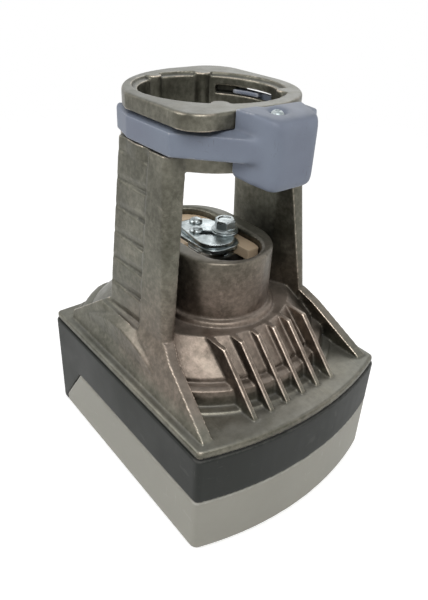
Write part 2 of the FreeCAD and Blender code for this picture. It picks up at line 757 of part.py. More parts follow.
def cast_ring():
    lower = rod(LOWER_RING_R, RING_BOTTOM_Z, GROOVE_BOTTOM_Z)
    flange = ring_blank(FLANGE_BOTTOM_Z, FLANGE_TOP_Z)
    rim = edges_where(flange, lambda edge: at_height(edge, FLANGE_TOP_Z))
    flange = flange.makeFillet(RING_EDGE_R, rim)
    middle = rod(GROOVE_R, GROOVE_BOTTOM_Z, FLANGE_BOTTOM_Z)
    rear = ring_blank(GROOVE_BOTTOM_Z, FLANGE_BOTTOM_Z)
    rear = rear.common(box(-RING_HALF_X, RING_HALF_X, ARM_BACK_Y + SEAT_GAP, RING_BACK_Y + 1.0,
                           GROOVE_BOTTOM_Z, FLANGE_BOTTOM_Z))
    ring = fuse_all([lower, middle, rear, flange])
    bores = [rod(NECK_R, RING_BOTTOM_Z - 1.0, GROOVE_BOTTOM_Z + 1.0),
             rod(BORE_R, GROOVE_BOTTOM_Z, FLANGE_TOP_Z + 1.0),
             rod(RIM_LEDGE_R, FLANGE_TOP_Z - RIM_LEDGE_DEPTH, FLANGE_TOP_Z + 1.0)]
    ring = cut_all(ring, bores)
    ring = fuse_all([ring] + ring_ribs())
    slot = sector(SLOT_ANGLES, NECK_R - 2.0, RING_HALF_X - 3.0, *SLOT_Z)
    return cut_all(ring, [slot, mirror_x(slot)])


def cast_hollow():
    """Room under the cone for the drive."""
    roof = WELL_FLOOR_Z - HUB_FLOOR_T
    top_r = DECK_R - CAST_WALL
    foot_r = SLOPE_FOOT_R - CAST_WALL - 2.0
    hollow = revolve([(0.0, CAST_Z - 1.0), (foot_r, CAST_Z - 1.0), (foot_r, PLATE_TOP_Z),
                      (top_r, roof), (0.0, roof)])
    inside = outline_prism(WALL + SPIGOT_GAP + SPIGOT_T, CAST_Z - 1.0, roof)
    limits = box(-SIDE_LIMIT + CAST_WALL + 6.0, SIDE_LIMIT - CAST_WALL - 6.0,
                 -2.0 * STEP_R, 2.0 * STEP_R, CAST_Z - 1.0, roof)
    return hollow.common(inside).common(limits)


def cast_well():
    """Mouth and well of the tower, with a wider step at the rim."""
    well = stadium_prism(WELL_HALF_X, WELL_HALF_Y, WELL_FLOOR_Z, TOWER_TOP_Z + 1.0, TOWER_Y)
    step = stadium_prism(WELL_HALF_X + RIM_STEP_W, WELL_HALF_Y + RIM_STEP_W,
                         TOWER_TOP_Z - RIM_STEP_DEPTH, TOWER_TOP_Z + 1.0, TOWER_Y)
    bush = rod(BUSH_R + RUN_GAP, WELL_FLOOR_Z - HUB_FLOOR_T - 1.0, WELL_FLOOR_Z + 1.0)
    return [well, step, bush]


def frame_screw_bosses():
    top = CAST_Z - SPIGOT_DEPTH
    keep = outline_prism(WALL + SPIGOT_GAP, top, CAST_Z + 1.0)
    return [rod(LUG_R, top, CAST_Z + 1.0, x, y).common(keep) for x, y in FRAME_SCREW_PLACES]


def gear_plate_bosses():
    """Posts of the casting that the upper gear plate is screwed against."""
    low = UPPER_PLATE_Z + GEAR_PLATE_T
    roof = WELL_FLOOR_Z - HUB_FLOOR_T
    return [rod(PLATE_BOSS_R, low, PLATE_TOP_Z if y < 0.0 else roof + 1.0, x, y)
            for x, y in pillar_places()]


def make_casting():
    solids = [cast_plate(), cast_cone()] + cast_fins() + cast_tower()
    right = [cast_leg(), cast_side_wall()]
    solids += right + [mirror_x(shape) for shape in right]
    solids += frame_screw_bosses()
    body = fuse_all(solids)
    panels = [leg_panel()] + leg_ledges()
    tools = panels + [mirror_x(panel) for panel in panels]
    tools += [cast_hollow()] + cast_well()
    seat = CAST_Z - SPIGOT_DEPTH - LUG_T
    tools += [rod(FRAME_SCREW_R + SCREW_GAP, seat - HOLE_OVERRUN, seat + FRAME_SCREW_GRIP + 0.5, x, y)
              for x, y in FRAME_SCREW_PLACES]
    tools.append(rod(NECK_R, RING_BOTTOM_Z - 1.0, FLANGE_TOP_Z))
    body = fuse_all([cut_all(body, tools), cast_ring()] + gear_plate_bosses())
    return cut_all(body, [rod(PLATE_SCREW_R + SCREW_GAP, UPPER_PLATE_Z, PLATE_SCREW_END_Z + 0.5, x, y)
                          for x, y in pillar_places()])


def bow_outline(inset, z):
    """Plan of the bow: two arms and the V of its front, without the block."""
    out_x = ARM_OUT_X - inset
    knee = ARM_KNEE_Y + 0.5 * inset
    front_y = BOW_FRONT_Y + 0.5 * BLOCK_TOP_R + inset
    cut_x, cut_y = ARM_REAR_CUT
    right = BLOCK_X + BLOCK_FRONT_HALF_X
    left = BLOCK_X - BLOCK_FRONT_HALF_X
    rear_x = max(out_x - cut_x, ARM_IN_X + 0.5)
    points = [(rear_x, ARM_BACK_Y), (out_x, ARM_BACK_Y - cut_y), (out_x, knee), (right, front_y),
              (left, front_y), (-out_x, knee), (-out_x, ARM_BACK_Y - cut_y), (-rear_x, ARM_BACK_Y)]
    corners = [V(x, y, z) for x, y in points]
    return Part.makePolygon(corners + [corners[0]])


def make_bow():
    low, knee_z, high = BOW_BOTTOM_Z, BOW_EDGE_Z, BOW_TOP_Z
    base = Part.Face(bow_outline(0.0, low)).extrude(V(0, 0, knee_z - low))
    cap = Part.makeLoft([bow_outline(0.0, knee_z), bow_outline(BOW_TOP_INSET, high)], True, True)
    bow = fuse_all([base, cap])
    mouth = box(-ARM_IN_X, ARM_IN_X, 0.0, ARM_BACK_Y + 1.0, low - 1.0, high + 1.0)
    hollow = fuse_all([rod(ARM_IN_X, low - 1.0, high + 1.0), mouth])
    bow = bow.cut(hollow)
    bow = fuse_all([bow, bow_block()] + bow_pads())
    return cut_all(bow, bow_pockets())


def bow_block():
    back = RING_FRONT_Y - SEAT_GAP
    plan = [(BLOCK_X + BLOCK_BACK_HALF_X, back), (BLOCK_X + BLOCK_FRONT_HALF_X, BOW_FRONT_Y),
            (BLOCK_X - BLOCK_FRONT_HALF_X, BOW_FRONT_Y), (BLOCK_X - BLOCK_BACK_HALF_X, back)]
    block = prism_z(plan, BLOCK_BOTTOM_FRONT_Z - 5.0, BLOCK_TOP_BACK_Z + 5.0)
    side = [(back + 1.0, BLOCK_TOP_BACK_Z), (back, BLOCK_TOP_BACK_Z), (BOW_FRONT_Y, BLOCK_TOP_FRONT_Z),
            (BOW_FRONT_Y - 1.0, BLOCK_TOP_FRONT_Z), (BOW_FRONT_Y - 1.0, BLOCK_BOTTOM_FRONT_Z),
            (BOW_FRONT_Y, BLOCK_BOTTOM_FRONT_Z), (back, BLOCK_BOTTOM_BACK_Z), (back + 1.0, BLOCK_BOTTOM_BACK_Z)]
    block = block.common(prism_x(side, -HALF_WIDTH, HALF_WIDTH))
    top = edges_where(block, lambda edge: edge.BoundBox.YMax < back - 1.0
                      and edge.BoundBox.ZMax > BOW_TOP_Z)
    block = block.makeFillet(BLOCK_TOP_R, top)
    low = edges_where(block, lambda edge: at_height(edge, BLOCK_BOTTOM_FRONT_Z))
    return block.makeFillet(BLOCK_EDGE_R, low)


def bow_pads():
    """Pads on the arms that reach through the ring's slots to the neck."""
    z0 = SLOT_Z[0] + SEAT_GAP
    z1 = BOW_TOP_Z
    pad = box(BORE_R - 4.0, ARM_IN_X + 1.0, PAD_Y[0], PAD_Y[1], z0, z1)
    pad = pad.cut(rod(BORE_R + PAD_GAP, z0 - 1.0, z1 + 1.0))
    return [pad, mirror_x(pad)]


def bow_pockets():
    back = RING_FRONT_Y
    side = WEDGE_HALF_X + SEAT_GAP
    top = WEDGE_BOTTOM_Z + WEDGE_H + WEDGE_TRAVEL + SEAT_GAP
    x, y = CLAMP_SCREW_X, CLAMP_SCREW_Y
    pocket = box(x - side, x + side, WEDGE_FRONT_Y - SEAT_GAP, back, WEDGE_BOTTOM_Z - SEAT_GAP, top)
    shank = rod(CLAMP_SCREW_R + RUN_GAP, CLAMP_SCREW_END_Z - 1.0, CLAMP_SEAT_Z + 1.0, x, y)
    recess = rod(CLAMP_RECESS_R, CLAMP_SEAT_Z, BLOCK_TOP_BACK_Z + 1.0, x, y)
    return [pocket, shank, recess]


def make_clamp_screw():
    y = CLAMP_SCREW_Y
    top = CLAMP_SEAT_Z + CLAMP_HEAD_H
    x = CLAMP_SCREW_X
    head = rod(CLAMP_HEAD_R, CLAMP_SEAT_Z, top, x, y)
    rim = edges_where(head, lambda edge: at_height(edge, top))
    head = head.makeFillet(0.6 * CLAMP_HEAD_H, rim)
    driver = hexagon(CLAMP_HEAD_R, top - 0.6 * CLAMP_HEAD_H, top + 1.0, x, y)
    shank = rod(CLAMP_SCREW_R, CLAMP_SCREW_END_Z, CLAMP_SEAT_Z, x, y)
    return fuse_all([head, shank]).cut(driver)


def make_wedge():
    z0 = WEDGE_BOTTOM_Z
    z1 = z0 + WEDGE_H
    back = RING_FRONT_Y - SEAT_GAP
    profile = [(WEDGE_FRONT_Y, z0), (back, z0), (back - WEDGE_SLOPE, z1), (WEDGE_FRONT_Y, z1)]
    wedge = prism_x(profile, CLAMP_SCREW_X - WEDGE_HALF_X, CLAMP_SCREW_X + WEDGE_HALF_X)
    return wedge.cut(rod(CLAMP_SCREW_R + RUN_GAP, z0 - 1.0, z1 + 1.0, CLAMP_SCREW_X, CLAMP_SCREW_Y))


def involute_point(base_r, angle, turn, side):
    x = base_r * (math.cos(angle) + angle * math.sin(angle))
    y = base_r * (math.sin(angle) - angle * math.cos(angle)) * side
    cos_t, sin_t = math.cos(turn), math.sin(turn)
    return x * cos_t - y * sin_t, x * sin_t + y * cos_t


def gear_points(module, teeth):
    """Outline of an involute gear with a tooth centred on +X."""
    pitch_r = 0.5 * module * teeth
    base_r = pitch_r * math.cos(math.radians(20.0))
    tip_r = pitch_r + module
    root_r = pitch_r - 1.25 * module
    pressure = math.radians(20.0)
    half_tooth = 0.25 * math.pi * module / pitch_r - TOOTH_SLACK / pitch_r * 0.5
    half_base = half_tooth + math.tan(pressure) - pressure
    radii = [max(pitch_r, base_r), tip_r]
    flank = [math.sqrt(max((radius / base_r) ** 2 - 1.0, 0.0)) for radius in radii]
    points = []
    for index in range(teeth):
        middle = 2.0 * math.pi * index / teeth
        low = middle - half_base
        high = middle + half_base
        points.append((root_r * math.cos(low), root_r * math.sin(low)))
        points += [involute_point(base_r, angle, low, 1.0) for angle in flank]
        points += [involute_point(base_r, angle, high, -1.0) for angle in reversed(flank)]
        points.append((root_r * math.cos(high), root_r * math.sin(high)))
    return points


def gear(module, teeth, z0, z1, x, y, turn):
    wheel = prism_z(gear_points(module, teeth), z0, z1)
    wheel.rotate(V(0, 0, 0), V(0, 0, 1), turn)
    wheel.translate(V(x, y, 0))
    return wheel


def mesh_turn(own_teeth, driver_teeth, driver_turn, bearing_angle):
    """Turn that puts a space of this gear on the line to a driver's tooth."""
    driver_pitch = 360.0 / driver_teeth
    own_pitch = 360.0 / own_teeth
    phase = ((bearing_angle - driver_turn) / driver_pitch) % 1.0
    return bearing_angle + 180.0 + (phase + 0.5) * own_pitch


def centre_distance(module, teeth_a, teeth_b):
    return 0.5 * module * (teeth_a + teeth_b)


def polar(origin, distance, angle):
    return (origin[0] + distance * math.cos(math.radians(angle)),
            origin[1] + distance * math.sin(math.radians(angle)))


SECOND_PLACE = polar((0.0, 0.0), centre_distance(SLOW_MODULE, SPINDLE_TEETH, SMALL_TEETH), SECOND_ANGLE)
FIRST_PLACE = polar(SECOND_PLACE, centre_distance(FAST_MODULE, SECOND_TEETH, SMALL_TEETH), FIRST_ANGLE)
MOTOR_PLACE = polar(FIRST_PLACE, centre_distance(FAST_MODULE, FIRST_TEETH, SMALL_TEETH), MOTOR_ANGLE)
SECOND_TURN = mesh_turn(SMALL_TEETH, SPINDLE_TEETH, 0.0, SECOND_ANGLE)
FIRST_TURN = mesh_turn(SMALL_TEETH, SECOND_TEETH, SECOND_TURN, FIRST_ANGLE)
MOTOR_TURN = mesh_turn(SMALL_TEETH, FIRST_TEETH, FIRST_TURN, MOTOR_ANGLE)


def make_spindle_gear():
    z0, z1 = SPINDLE_GEAR_Z
    wheel = gear(SLOW_MODULE, SPINDLE_TEETH, z0, z1, 0.0, 0.0, 0.0)
    low = LOWER_PLATE_Z + GEAR_PLATE_T + BEARING_T + RUN_GAP
    high = UPPER_PLATE_Z - BEARING_T - RUN_GAP
    hub = rod(SPINDLE_HUB_R, low, high)
    journals = rod(BEARING_IN_R - RUN_GAP, LOWER_PLATE_Z + GEAR_PLATE_T, UPPER_PLATE_Z)
    bore = rod(SPINDLE_R + RUN_GAP, 0.0, 2.0 * UPPER_PLATE_Z)
    return fuse_all([wheel, hub, journals]).cut(bore)


def cluster_gear(place, turn, wheel_teeth, wheel_z, pinion_module, pinion_z):
    """Wheel and pinion in one piece, with a hub from plate to plate."""
    x, y = place
    wheel = gear(FAST_MODULE, wheel_teeth, wheel_z[0], wheel_z[1], x, y, turn)
    pinion = gear(pinion_module, SMALL_TEETH, pinion_z[0], pinion_z[1], x, y, turn)
    hub = rod(GEAR_HUB_R, LOWER_PLATE_Z + GEAR_PLATE_T + SEAT_GAP, UPPER_PLATE_Z - SEAT_GAP, x, y)
    bore = rod(AXLE_R + RUN_GAP, 0.0, 2.0 * UPPER_PLATE_Z, x, y)
    return fuse_all([wheel, pinion, hub]).cut(bore)


def make_second_gear():
    pinion_z = (SPINDLE_GEAR_Z[0] - 1.0, SECOND_WHEEL_Z[0])
    return cluster_gear(SECOND_PLACE, SECOND_TURN, SECOND_TEETH, SECOND_WHEEL_Z, SLOW_MODULE, pinion_z)


def make_first_gear():
    pinion_z = (FIRST_WHEEL_Z[1], UPPER_PLATE_Z - 1.0)
    return cluster_gear(FIRST_PLACE, FIRST_TURN, FIRST_TEETH, FIRST_WHEEL_Z, FAST_MODULE, pinion_z)


def make_motor_pinion():
    x, y = MOTOR_PLACE
    pinion = gear(FAST_MODULE, SMALL_TEETH, MOTOR_PINION_Z[0], MOTOR_PINION_Z[1], x, y, MOTOR_TURN)
    shaft = rod(MOTOR_SHAFT_R, LOWER_PLATE_Z - MOTOR_H + 2.0, MOTOR_PINION_Z[1], x, y)
    return fuse_all([pinion, shaft])


def make_gear_axles():
    low = LOWER_PLATE_Z
    high = UPPER_PLATE_Z + GEAR_PLATE_T
    return Part.makeCompound([rod(AXLE_R, low, high, x, y) for x, y in (SECOND_PLACE, FIRST_PLACE)])


def pillar_places():
    x0, x1 = GEAR_PLATE_X[0] + PILLAR_INSET, GEAR_PLATE_X[1] - PILLAR_INSET
    y0, y1 = GEAR_PLATE_Y[0] + PILLAR_INSET, GEAR_PLATE_Y[1] - PILLAR_INSET
    return [(x0, y0), (x1, y0), (x0, y1), (x1, y1)]


def gear_plate(z0):
    x0, x1 = GEAR_PLATE_X
    y0, y1 = GEAR_PLATE_Y
    plate = box(x0, x1, y0, y1, z0, z0 + GEAR_PLATE_T)
    plate = plate.makeFillet(PILLAR_INSET, edges_where(plate, is_vertical))
    holes = [rod(AXLE_R + RUN_GAP, z0 - 1.0, z0 + 2.0 * GEAR_PLATE_T, x, y)
             for x, y in (SECOND_PLACE, FIRST_PLACE)]
    holes += [rod(PLATE_SCREW_R + SCREW_GAP, z0 - 1.0, z0 + 2.0 * GEAR_PLATE_T, x, y)
              for x, y in pillar_places()]
    return cut_all(plate, holes)


def make_upper_plate():
    plate = gear_plate(UPPER_PLATE_Z)
    return plate.cut(rod(SPINDLE_R + 1.5, UPPER_PLATE_Z - 1.0, UPPER_PLATE_Z + 2.0 * GEAR_PLATE_T))


def make_lower_plate():
    plate = gear_plate(LOWER_PLATE_Z)
    x, y = MOTOR_PLACE
    spindle_hole = rod(SPINDLE_R + 1.5, LOWER_PLATE_Z - 1.0, LOWER_PLATE_Z + 2.0 * GEAR_PLATE_T)
    motor_hole = rod(MOTOR_BOSS_R + RUN_GAP, LOWER_PLATE_Z - 1.0, LOWER_PLATE_Z + 2.0 * GEAR_PLATE_T, x, y)
    tools = [spindle_hole, motor_hole]
    tools += [rod(MOTOR_SCREW_R + SCREW_GAP, LOWER_PLATE_Z - 1.0, LOWER_PLATE_Z + 2.0 * GEAR_PLATE_T, px, py)
              for px, py in motor_screw_places()]
    return cut_all(plate, tools)


def make_pillars():
    low = LOWER_PLATE_Z + GEAR_PLATE_T
    high = UPPER_PLATE_Z
    pillars = [tube(PILLAR_R, PLATE_SCREW_R + SCREW_GAP, low, high, x, y) for x, y in pillar_places()]
    return Part.makeCompound(pillars)


def make_plate_screws():
    """Long screws through both plates and the pillars, up into the casting."""
    screws = []
    for x, y in pillar_places():
        screws.append(plain_screw(x, y, LOWER_PLATE_Z, PLATE_HEAD_R, PLATE_HEAD_H, PLATE_SCREW_R,
                                  PLATE_SCREW_END_Z))
    return Part.makeCompound(screws)


def ring_bearing(z0):
    """Ball bearing seen as its two races and a cage ring between them."""
    z1 = z0 + BEARING_T
    outer = tube(BEARING_R, BEARING_R - RACE_T, z0, z1)
    inner = tube(BEARING_IN_R + RACE_T, BEARING_IN_R, z0, z1)
    cage = tube(BEARING_R - RACE_T, BEARING_IN_R + RACE_T, z0 + 1.5, z1 - 1.5)
    return fuse_all([outer, inner, cage])


def make_bush():
    top = WELL_FLOOR_Z + BUSH_FLANGE_T
    sleeve = rod(BUSH_R, WELL_FLOOR_Z - HUB_FLOOR_T, top)
    flange = rod(BUSH_FLANGE_R, WELL_FLOOR_Z, top)
    return fuse_all([sleeve, flange]).cut(rod(SPINDLE_R + RUN_GAP, 0.0, 2.0 * top))


def make_spindle():
    spindle = rod(SPINDLE_R, SPINDLE_BOTTOM_Z, SPINDLE_TOP_Z)
    ends = edges_where(spindle, lambda edge: at_height(edge, SPINDLE_BOTTOM_Z))
    return spindle.makeChamfer(1.2, ends)


def square_block(half, z0, z1):
    block = box(-half, half, -half, half, z0, z1)
    return block.makeFillet(CARRIER_CORNER_R, edges_where(block, is_vertical))


def make_carrier():
    """Block on the spindle's end, with a shoulder that the guide rests on."""
    low = CARRIER_TOP_Z - CARRIER_H
    shoulder = square_block(CARRIER_HALF + SHOULDER_W, low, CARRIER_TOP_Z)
    neck = square_block(CARRIER_HALF, CARRIER_TOP_Z, CARRIER_PLATE_Z)
    socket = rod(SPINDLE_R, low - 1.0, SPINDLE_TOP_Z)
    body = fuse_all([shoulder, neck]).cut(socket)
    return cut_all(body, coupling_holes(low, CARRIER_PLATE_Z + 1.0))


def make_guide():
    """Plastic guide that lies round the carrier's plate and runs in the tower's well."""
    low, high = CARRIER_TOP_Z, CLAMP_PLATE_Z
    guide = stadium_prism(WELL_HALF_X - GUIDE_GAP, WELL_HALF_Y - GUIDE_GAP, low, high, TOWER_Y)
    far = 2.0 * WELL_HALF_Y
    tools = [square_block(CARRIER_HALF + SEAT_GAP, low - 1.0, high + 1.0),
             plate_blank(SEAT_GAP, CARRIER_PLATE_Z, high + 1.0),
             box(-far, GUIDE_STRIP_X, -far, GUIDE_LEFT_END_Y, low - 1.0, high + 1.0),
             box(-far, far, -far, GUIDE_FRONT_Y, low - 1.0, high + 1.0),
             rod(COUPLING_BOLT_R + SEAT_GAP, low - 1.0, high + 1.0, *COUPLING_BOLT)]
    return cut_all(guide, tools)


def stem_slot(z0, z1):
    """Slot for the valve's stem, from the stem axis towards the bolt."""
    x, y = STEM_SLOT_END
    length = math.hypot(x, y)
    slot = box(0.0, length, -STEM_HOLE_R, STEM_HOLE_R, z0, z1)
    slot = fuse_all([slot, rod(STEM_HOLE_R, z0, z1), rod(STEM_HOLE_R, z0, z1, length, 0.0)])
    slot.rotate(V(0, 0, 0), V(0, 0, 1), math.degrees(math.atan2(y, x)))
    return slot


def coupling_holes(z0, z1):
    bolt_x, bolt_y = COUPLING_BOLT
    bolt = rod(COUPLING_BOLT_R + RUN_GAP, COUPLING_BOLT_END_Z - 2.0, z1, bolt_x, bolt_y)
    stem = stem_slot(max(z0, SPINDLE_TOP_Z), z1)
    rivets = [rod(RIVET_R, CARRIER_PLATE_Z - 1.0, z1, x, y) for x, y in RIVET_PLACES]
    return [bolt, stem] + rivets


def rounded_plate(half, corner_r, z0, z1):
    half_x, half_y = half
    plate = box(-half_x, half_x, -half_y, half_y, z0, z1)
    return plate.makeFillet(corner_r, edges_where(plate, is_vertical))


def plate_blank(grow, z0, z1):
    """Outline of the carrier plate, grown by a clearance."""
    half = (CARRIER_PLATE_HALF[0] + grow, CARRIER_PLATE_HALF[1] + grow)
    plate = rounded_plate(half, CARRIER_PLATE_R + grow, z0, z1)
    plate.translate(V(*CARRIER_PLATE_PLACE, 0))
    return plate


def make_carrier_plate():
    plate = plate_blank(0.0, CARRIER_PLATE_Z, CLAMP_PLATE_Z)
    return cut_all(plate, coupling_holes(CARRIER_PLATE_Z - 1.0, CLAMP_PLATE_Z + 1.0))


def make_clamp_plate():
    plate = rounded_plate(CLAMP_PLATE_HALF, CLAMP_PLATE_R, CLAMP_PLATE_Z, COUPLING_TOP_Z)
    plate.rotate(V(0, 0, 0), V(0, 0, 1), CLAMP_PLATE_TURN)
    plate.translate(V(*CLAMP_PLATE_PLACE, 0))
    return cut_all(plate, coupling_holes(CLAMP_PLATE_Z - 1.0, COUPLING_TOP_Z + 1.0))


def make_rivets():
    rivets = []
    for x, y in RIVET_PLACES:
        head = rod(RIVET_HEAD_R, COUPLING_TOP_Z, COUPLING_TOP_Z + RIVET_HEAD_H, x, y)
        crown = edges_where(head, lambda edge: at_height(edge, COUPLING_TOP_Z + RIVET_HEAD_H))
        head = head.makeFillet(0.9 * RIVET_HEAD_H, crown)
        rivets.append(fuse_all([head, rod(RIVET_R, CARRIER_PLATE_Z, COUPLING_TOP_Z, x, y)]))
    return Part.makeCompound(rivets)


def make_coupling_bolt():
    x, y = COUPLING_BOLT
    seat = COUPLING_TOP_Z + WASHER_T
    flange = rod(COUPLING_FLANGE_R, seat, seat + COUPLING_FLANGE_T, x, y)
    head = hexagon(COUPLING_BOLT_AF, seat, seat + COUPLING_FLANGE_T + COUPLING_HEAD_H, x, y)
    shank = rod(COUPLING_BOLT_R, COUPLING_BOLT_END_Z, seat, x, y)
    return fuse_all([flange, head, shank])


def make_washer():
    x, y = COUPLING_BOLT
    return tube(WASHER_R, COUPLING_BOLT_R + SCREW_GAP, COUPLING_TOP_Z, COUPLING_TOP_Z + WASHER_T, x, y)


def make_clip():
    x, y = CLIP_PLACE
    length, width, height = CLIP_SIZE
    base = CARRIER_TOP_Z
    foot = box(x - 0.5 * length, x + 0.5 * length, y - 0.5 * width, y + 0.5 * width, base, base + 1.0)
    tab = box(x - 0.5 * width, x + 0.5 * width, y - 0.5 * width, y + 0.5 * width, base, base + height)
    return fuse_all([foot, tab])


def make_motor():
    x, y = MOTOR_PLACE
    top = LOWER_PLATE_Z
    can = rod(MOTOR_R, top - MOTOR_H, top, x, y)
    rim = edges_where(can, lambda edge: at_height(edge, top - MOTOR_H))
    can = can.makeFillet(2.5, rim)
    boss = rod(MOTOR_BOSS_R, top, top + GEAR_PLATE_T, x, y)
    ears = [rod(MOTOR_EAR_R, top - MOTOR_EAR_T, top, x + side * 0.5 * MOTOR_EAR_PITCH, y) for side in (-1, 1)]
    strap = box(x - 0.5 * MOTOR_EAR_PITCH, x + 0.5 * MOTOR_EAR_PITCH, y - MOTOR_EAR_R, y + MOTOR_EAR_R,
                top - MOTOR_EAR_T, top)
    body = fuse_all([can, boss, strap] + ears)
    holes = [rod(MOTOR_SHAFT_R + RUN_GAP, top - MOTOR_H + 2.0 - RUN_GAP, top + MOTOR_H, x, y)]
    holes += [rod(MOTOR_SCREW_R + SCREW_GAP, top - 2.0 * MOTOR_EAR_T, top + 1.0, px, py)
              for px, py in motor_screw_places()]
    return cut_all(body, holes)


def motor_screw_places():
    x, y = MOTOR_PLACE
    return [(x - 0.5 * MOTOR_EAR_PITCH, y), (x + 0.5 * MOTOR_EAR_PITCH, y)]


def make_motor_screws():
    seat = LOWER_PLATE_Z - MOTOR_EAR_T
    head_r, head_h = MOTOR_SCREW_HEAD
    return Part.makeCompound([
        plain_screw(x, y, seat, head_r, head_h, MOTOR_SCREW_R, LOWER_PLATE_Z + GEAR_PLATE_T)
        for x, y in motor_screw_places()])


def make_board():
    board = box(BOARD_X[0], BOARD_X[1], BOARD_Y[0], BOARD_Y[1], BOARD_Z, BOARD_Z + BOARD_T)
    return cut_all(board, [rod(BOARD_SCREW_R + SCREW_GAP, BOARD_Z - 1.0, BOARD_Z + BOARD_T + 1.0, x, y)
                           for x, y in BOARD_SCREW_PLACES])


def make_standoffs():
    """Posts that hang the board from the lower gear plate."""
    low = BOARD_Z + BOARD_T
    posts = []
    for x, y in BOARD_SCREW_PLACES:
        post = rod(STANDOFF_R, low, LOWER_PLATE_Z, x, y)
        hole = rod(BOARD_SCREW_R + RUN_GAP, low - 1.0, BOARD_Z + BOARD_SCREW_GRIP + 0.5, x, y)
        posts.append(post.cut(hole))
    return Part.makeCompound(posts)


def make_board_screws():
    head_r, head_h = BOARD_SCREW_HEAD
    return Part.makeCompound([
        plain_screw(x, y, BOARD_Z, head_r, head_h, BOARD_SCREW_R, BOARD_Z + BOARD_SCREW_GRIP)
        for x, y in BOARD_SCREW_PLACES])


def make_terminal_block():
    length, depth, height = TERMINAL_SIZE
    z0 = BOARD_Z + BOARD_T
    block = box(-0.5 * length, 0.5 * length, TERMINAL_Y - 0.5 * depth, TERMINAL_Y + 0.5 * depth, z0, z0 + height)
    pitch = length / TERMINAL_COUNT
    pockets = []
    for index in range(TERMINAL_COUNT):
        x = (index - 0.5 * (TERMINAL_COUNT - 1)) * pitch
        pockets.append(rod(0.35 * pitch, z0 + height - 3.0, z0 + height + 1.0, x, TERMINAL_Y - 2.0))
    return cut_all(block, pockets)


def make_capacitor():
    x, y = CAPACITOR_PLACE
    base = BOARD_Z + BOARD_T
    width, length, lift = CAPACITOR_SADDLE
    start = V(x, y - 0.5 * CAPACITOR_LENGTH, base + CAPACITOR_R)
    can = Part.makeCylinder(CAPACITOR_R, CAPACITOR_LENGTH, start, V(0, 1, 0))
    saddle = box(x - 0.5 * width, x + 0.5 * width, y - 0.5 * length, y + 0.5 * length, base, base + lift)
    return fuse_all([can, saddle])


def make_switches():
    length_x, length_y, height = SWITCH_SIZE
    z0 = LOWER_PLATE_Z + GEAR_PLATE_T
    switches = []
    for y in SWITCH_Y:
        body = box(SWITCH_X - length_x, SWITCH_X, y - 0.5 * length_y, y + 0.5 * length_y, z0, z0 + height)
        lever = box(SWITCH_X - 0.6 * length_x, SWITCH_X - 0.4 * length_x, y - 0.4 * length_y,
                    y + 0.4 * length_y, z0 + height, z0 + height + 1.2)
        switches.append(fuse_all([body, lever]))
    return Part.makeCompound(switches)


def make_nodes():
    shell = shell_solids()
    return {
        "yoke_casting": make_casting(),
        "clamp_bow": make_bow(),
        "clamp_screw": make_clamp_screw(),
        "clamp_wedge_nut": make_wedge(),
        "housing_frame": make_frame(shell),
        "housing_gasket": make_gasket(),
        "cover": make_cover(shell),
        "cover_seal": make_cover_seal(),
        "cover_screws": make_cover_screws(),
        "frame_screws": make_frame_screws(),
        "cable_plugs": make_cable_plugs(),
        "spindle": make_spindle(),
        "spindle_bush": make_bush(),
        "spindle_gear": make_spindle_gear(),
        "upper_bearing": ring_bearing(UPPER_PLATE_Z - BEARING_T),
        "lower_bearing": ring_bearing(LOWER_PLATE_Z + GEAR_PLATE_T),
        "second_gear": make_second_gear(),
        "first_gear": make_first_gear(),
        "motor_pinion": make_motor_pinion(),
        "gear_axles": make_gear_axles(),
        "upper_gear_plate": make_upper_plate(),
        "lower_gear_plate": make_lower_plate(),
        "plate_pillars": make_pillars(),
        "plate_screws": make_plate_screws(),
        "motor": make_motor(),
        "stem_carrier": make_carrier(),
        "stem_guide": make_guide(),
        "carrier_plate": make_carrier_plate(),
        "clamp_plate": make_clamp_plate(),
        "coupling_rivets": make_rivets(),
        "coupling_bolt": make_coupling_bolt(),
        "coupling_washer": make_washer(),
        "retaining_clip": make_clip(),
        "circuit_board": make_board(),
        "terminal_block": make_terminal_block(),
        "capacitor": make_capacitor(),
        "board_standoffs": make_standoffs(),
        "board_screws": make_board_screws(),
        "motor_screws": make_motor_screws(),
        "limit_switches": make_switches(),
    }


def main():
    os.makedirs("parts", exist_ok=True)
    for name, shape in make_nodes().items():
        shape.exportStep("parts/" + name + ".step")
        print(name, len(shape.Solids), round(shape.Volume / 1000.0, 2))


main()
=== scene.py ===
import json
import logging
import math
from dataclasses import dataclass
from enum import Enum
from typing import Callable, Iterable

import bmesh
import bpy
import numpy as np
from mathutils import Matrix, Vector

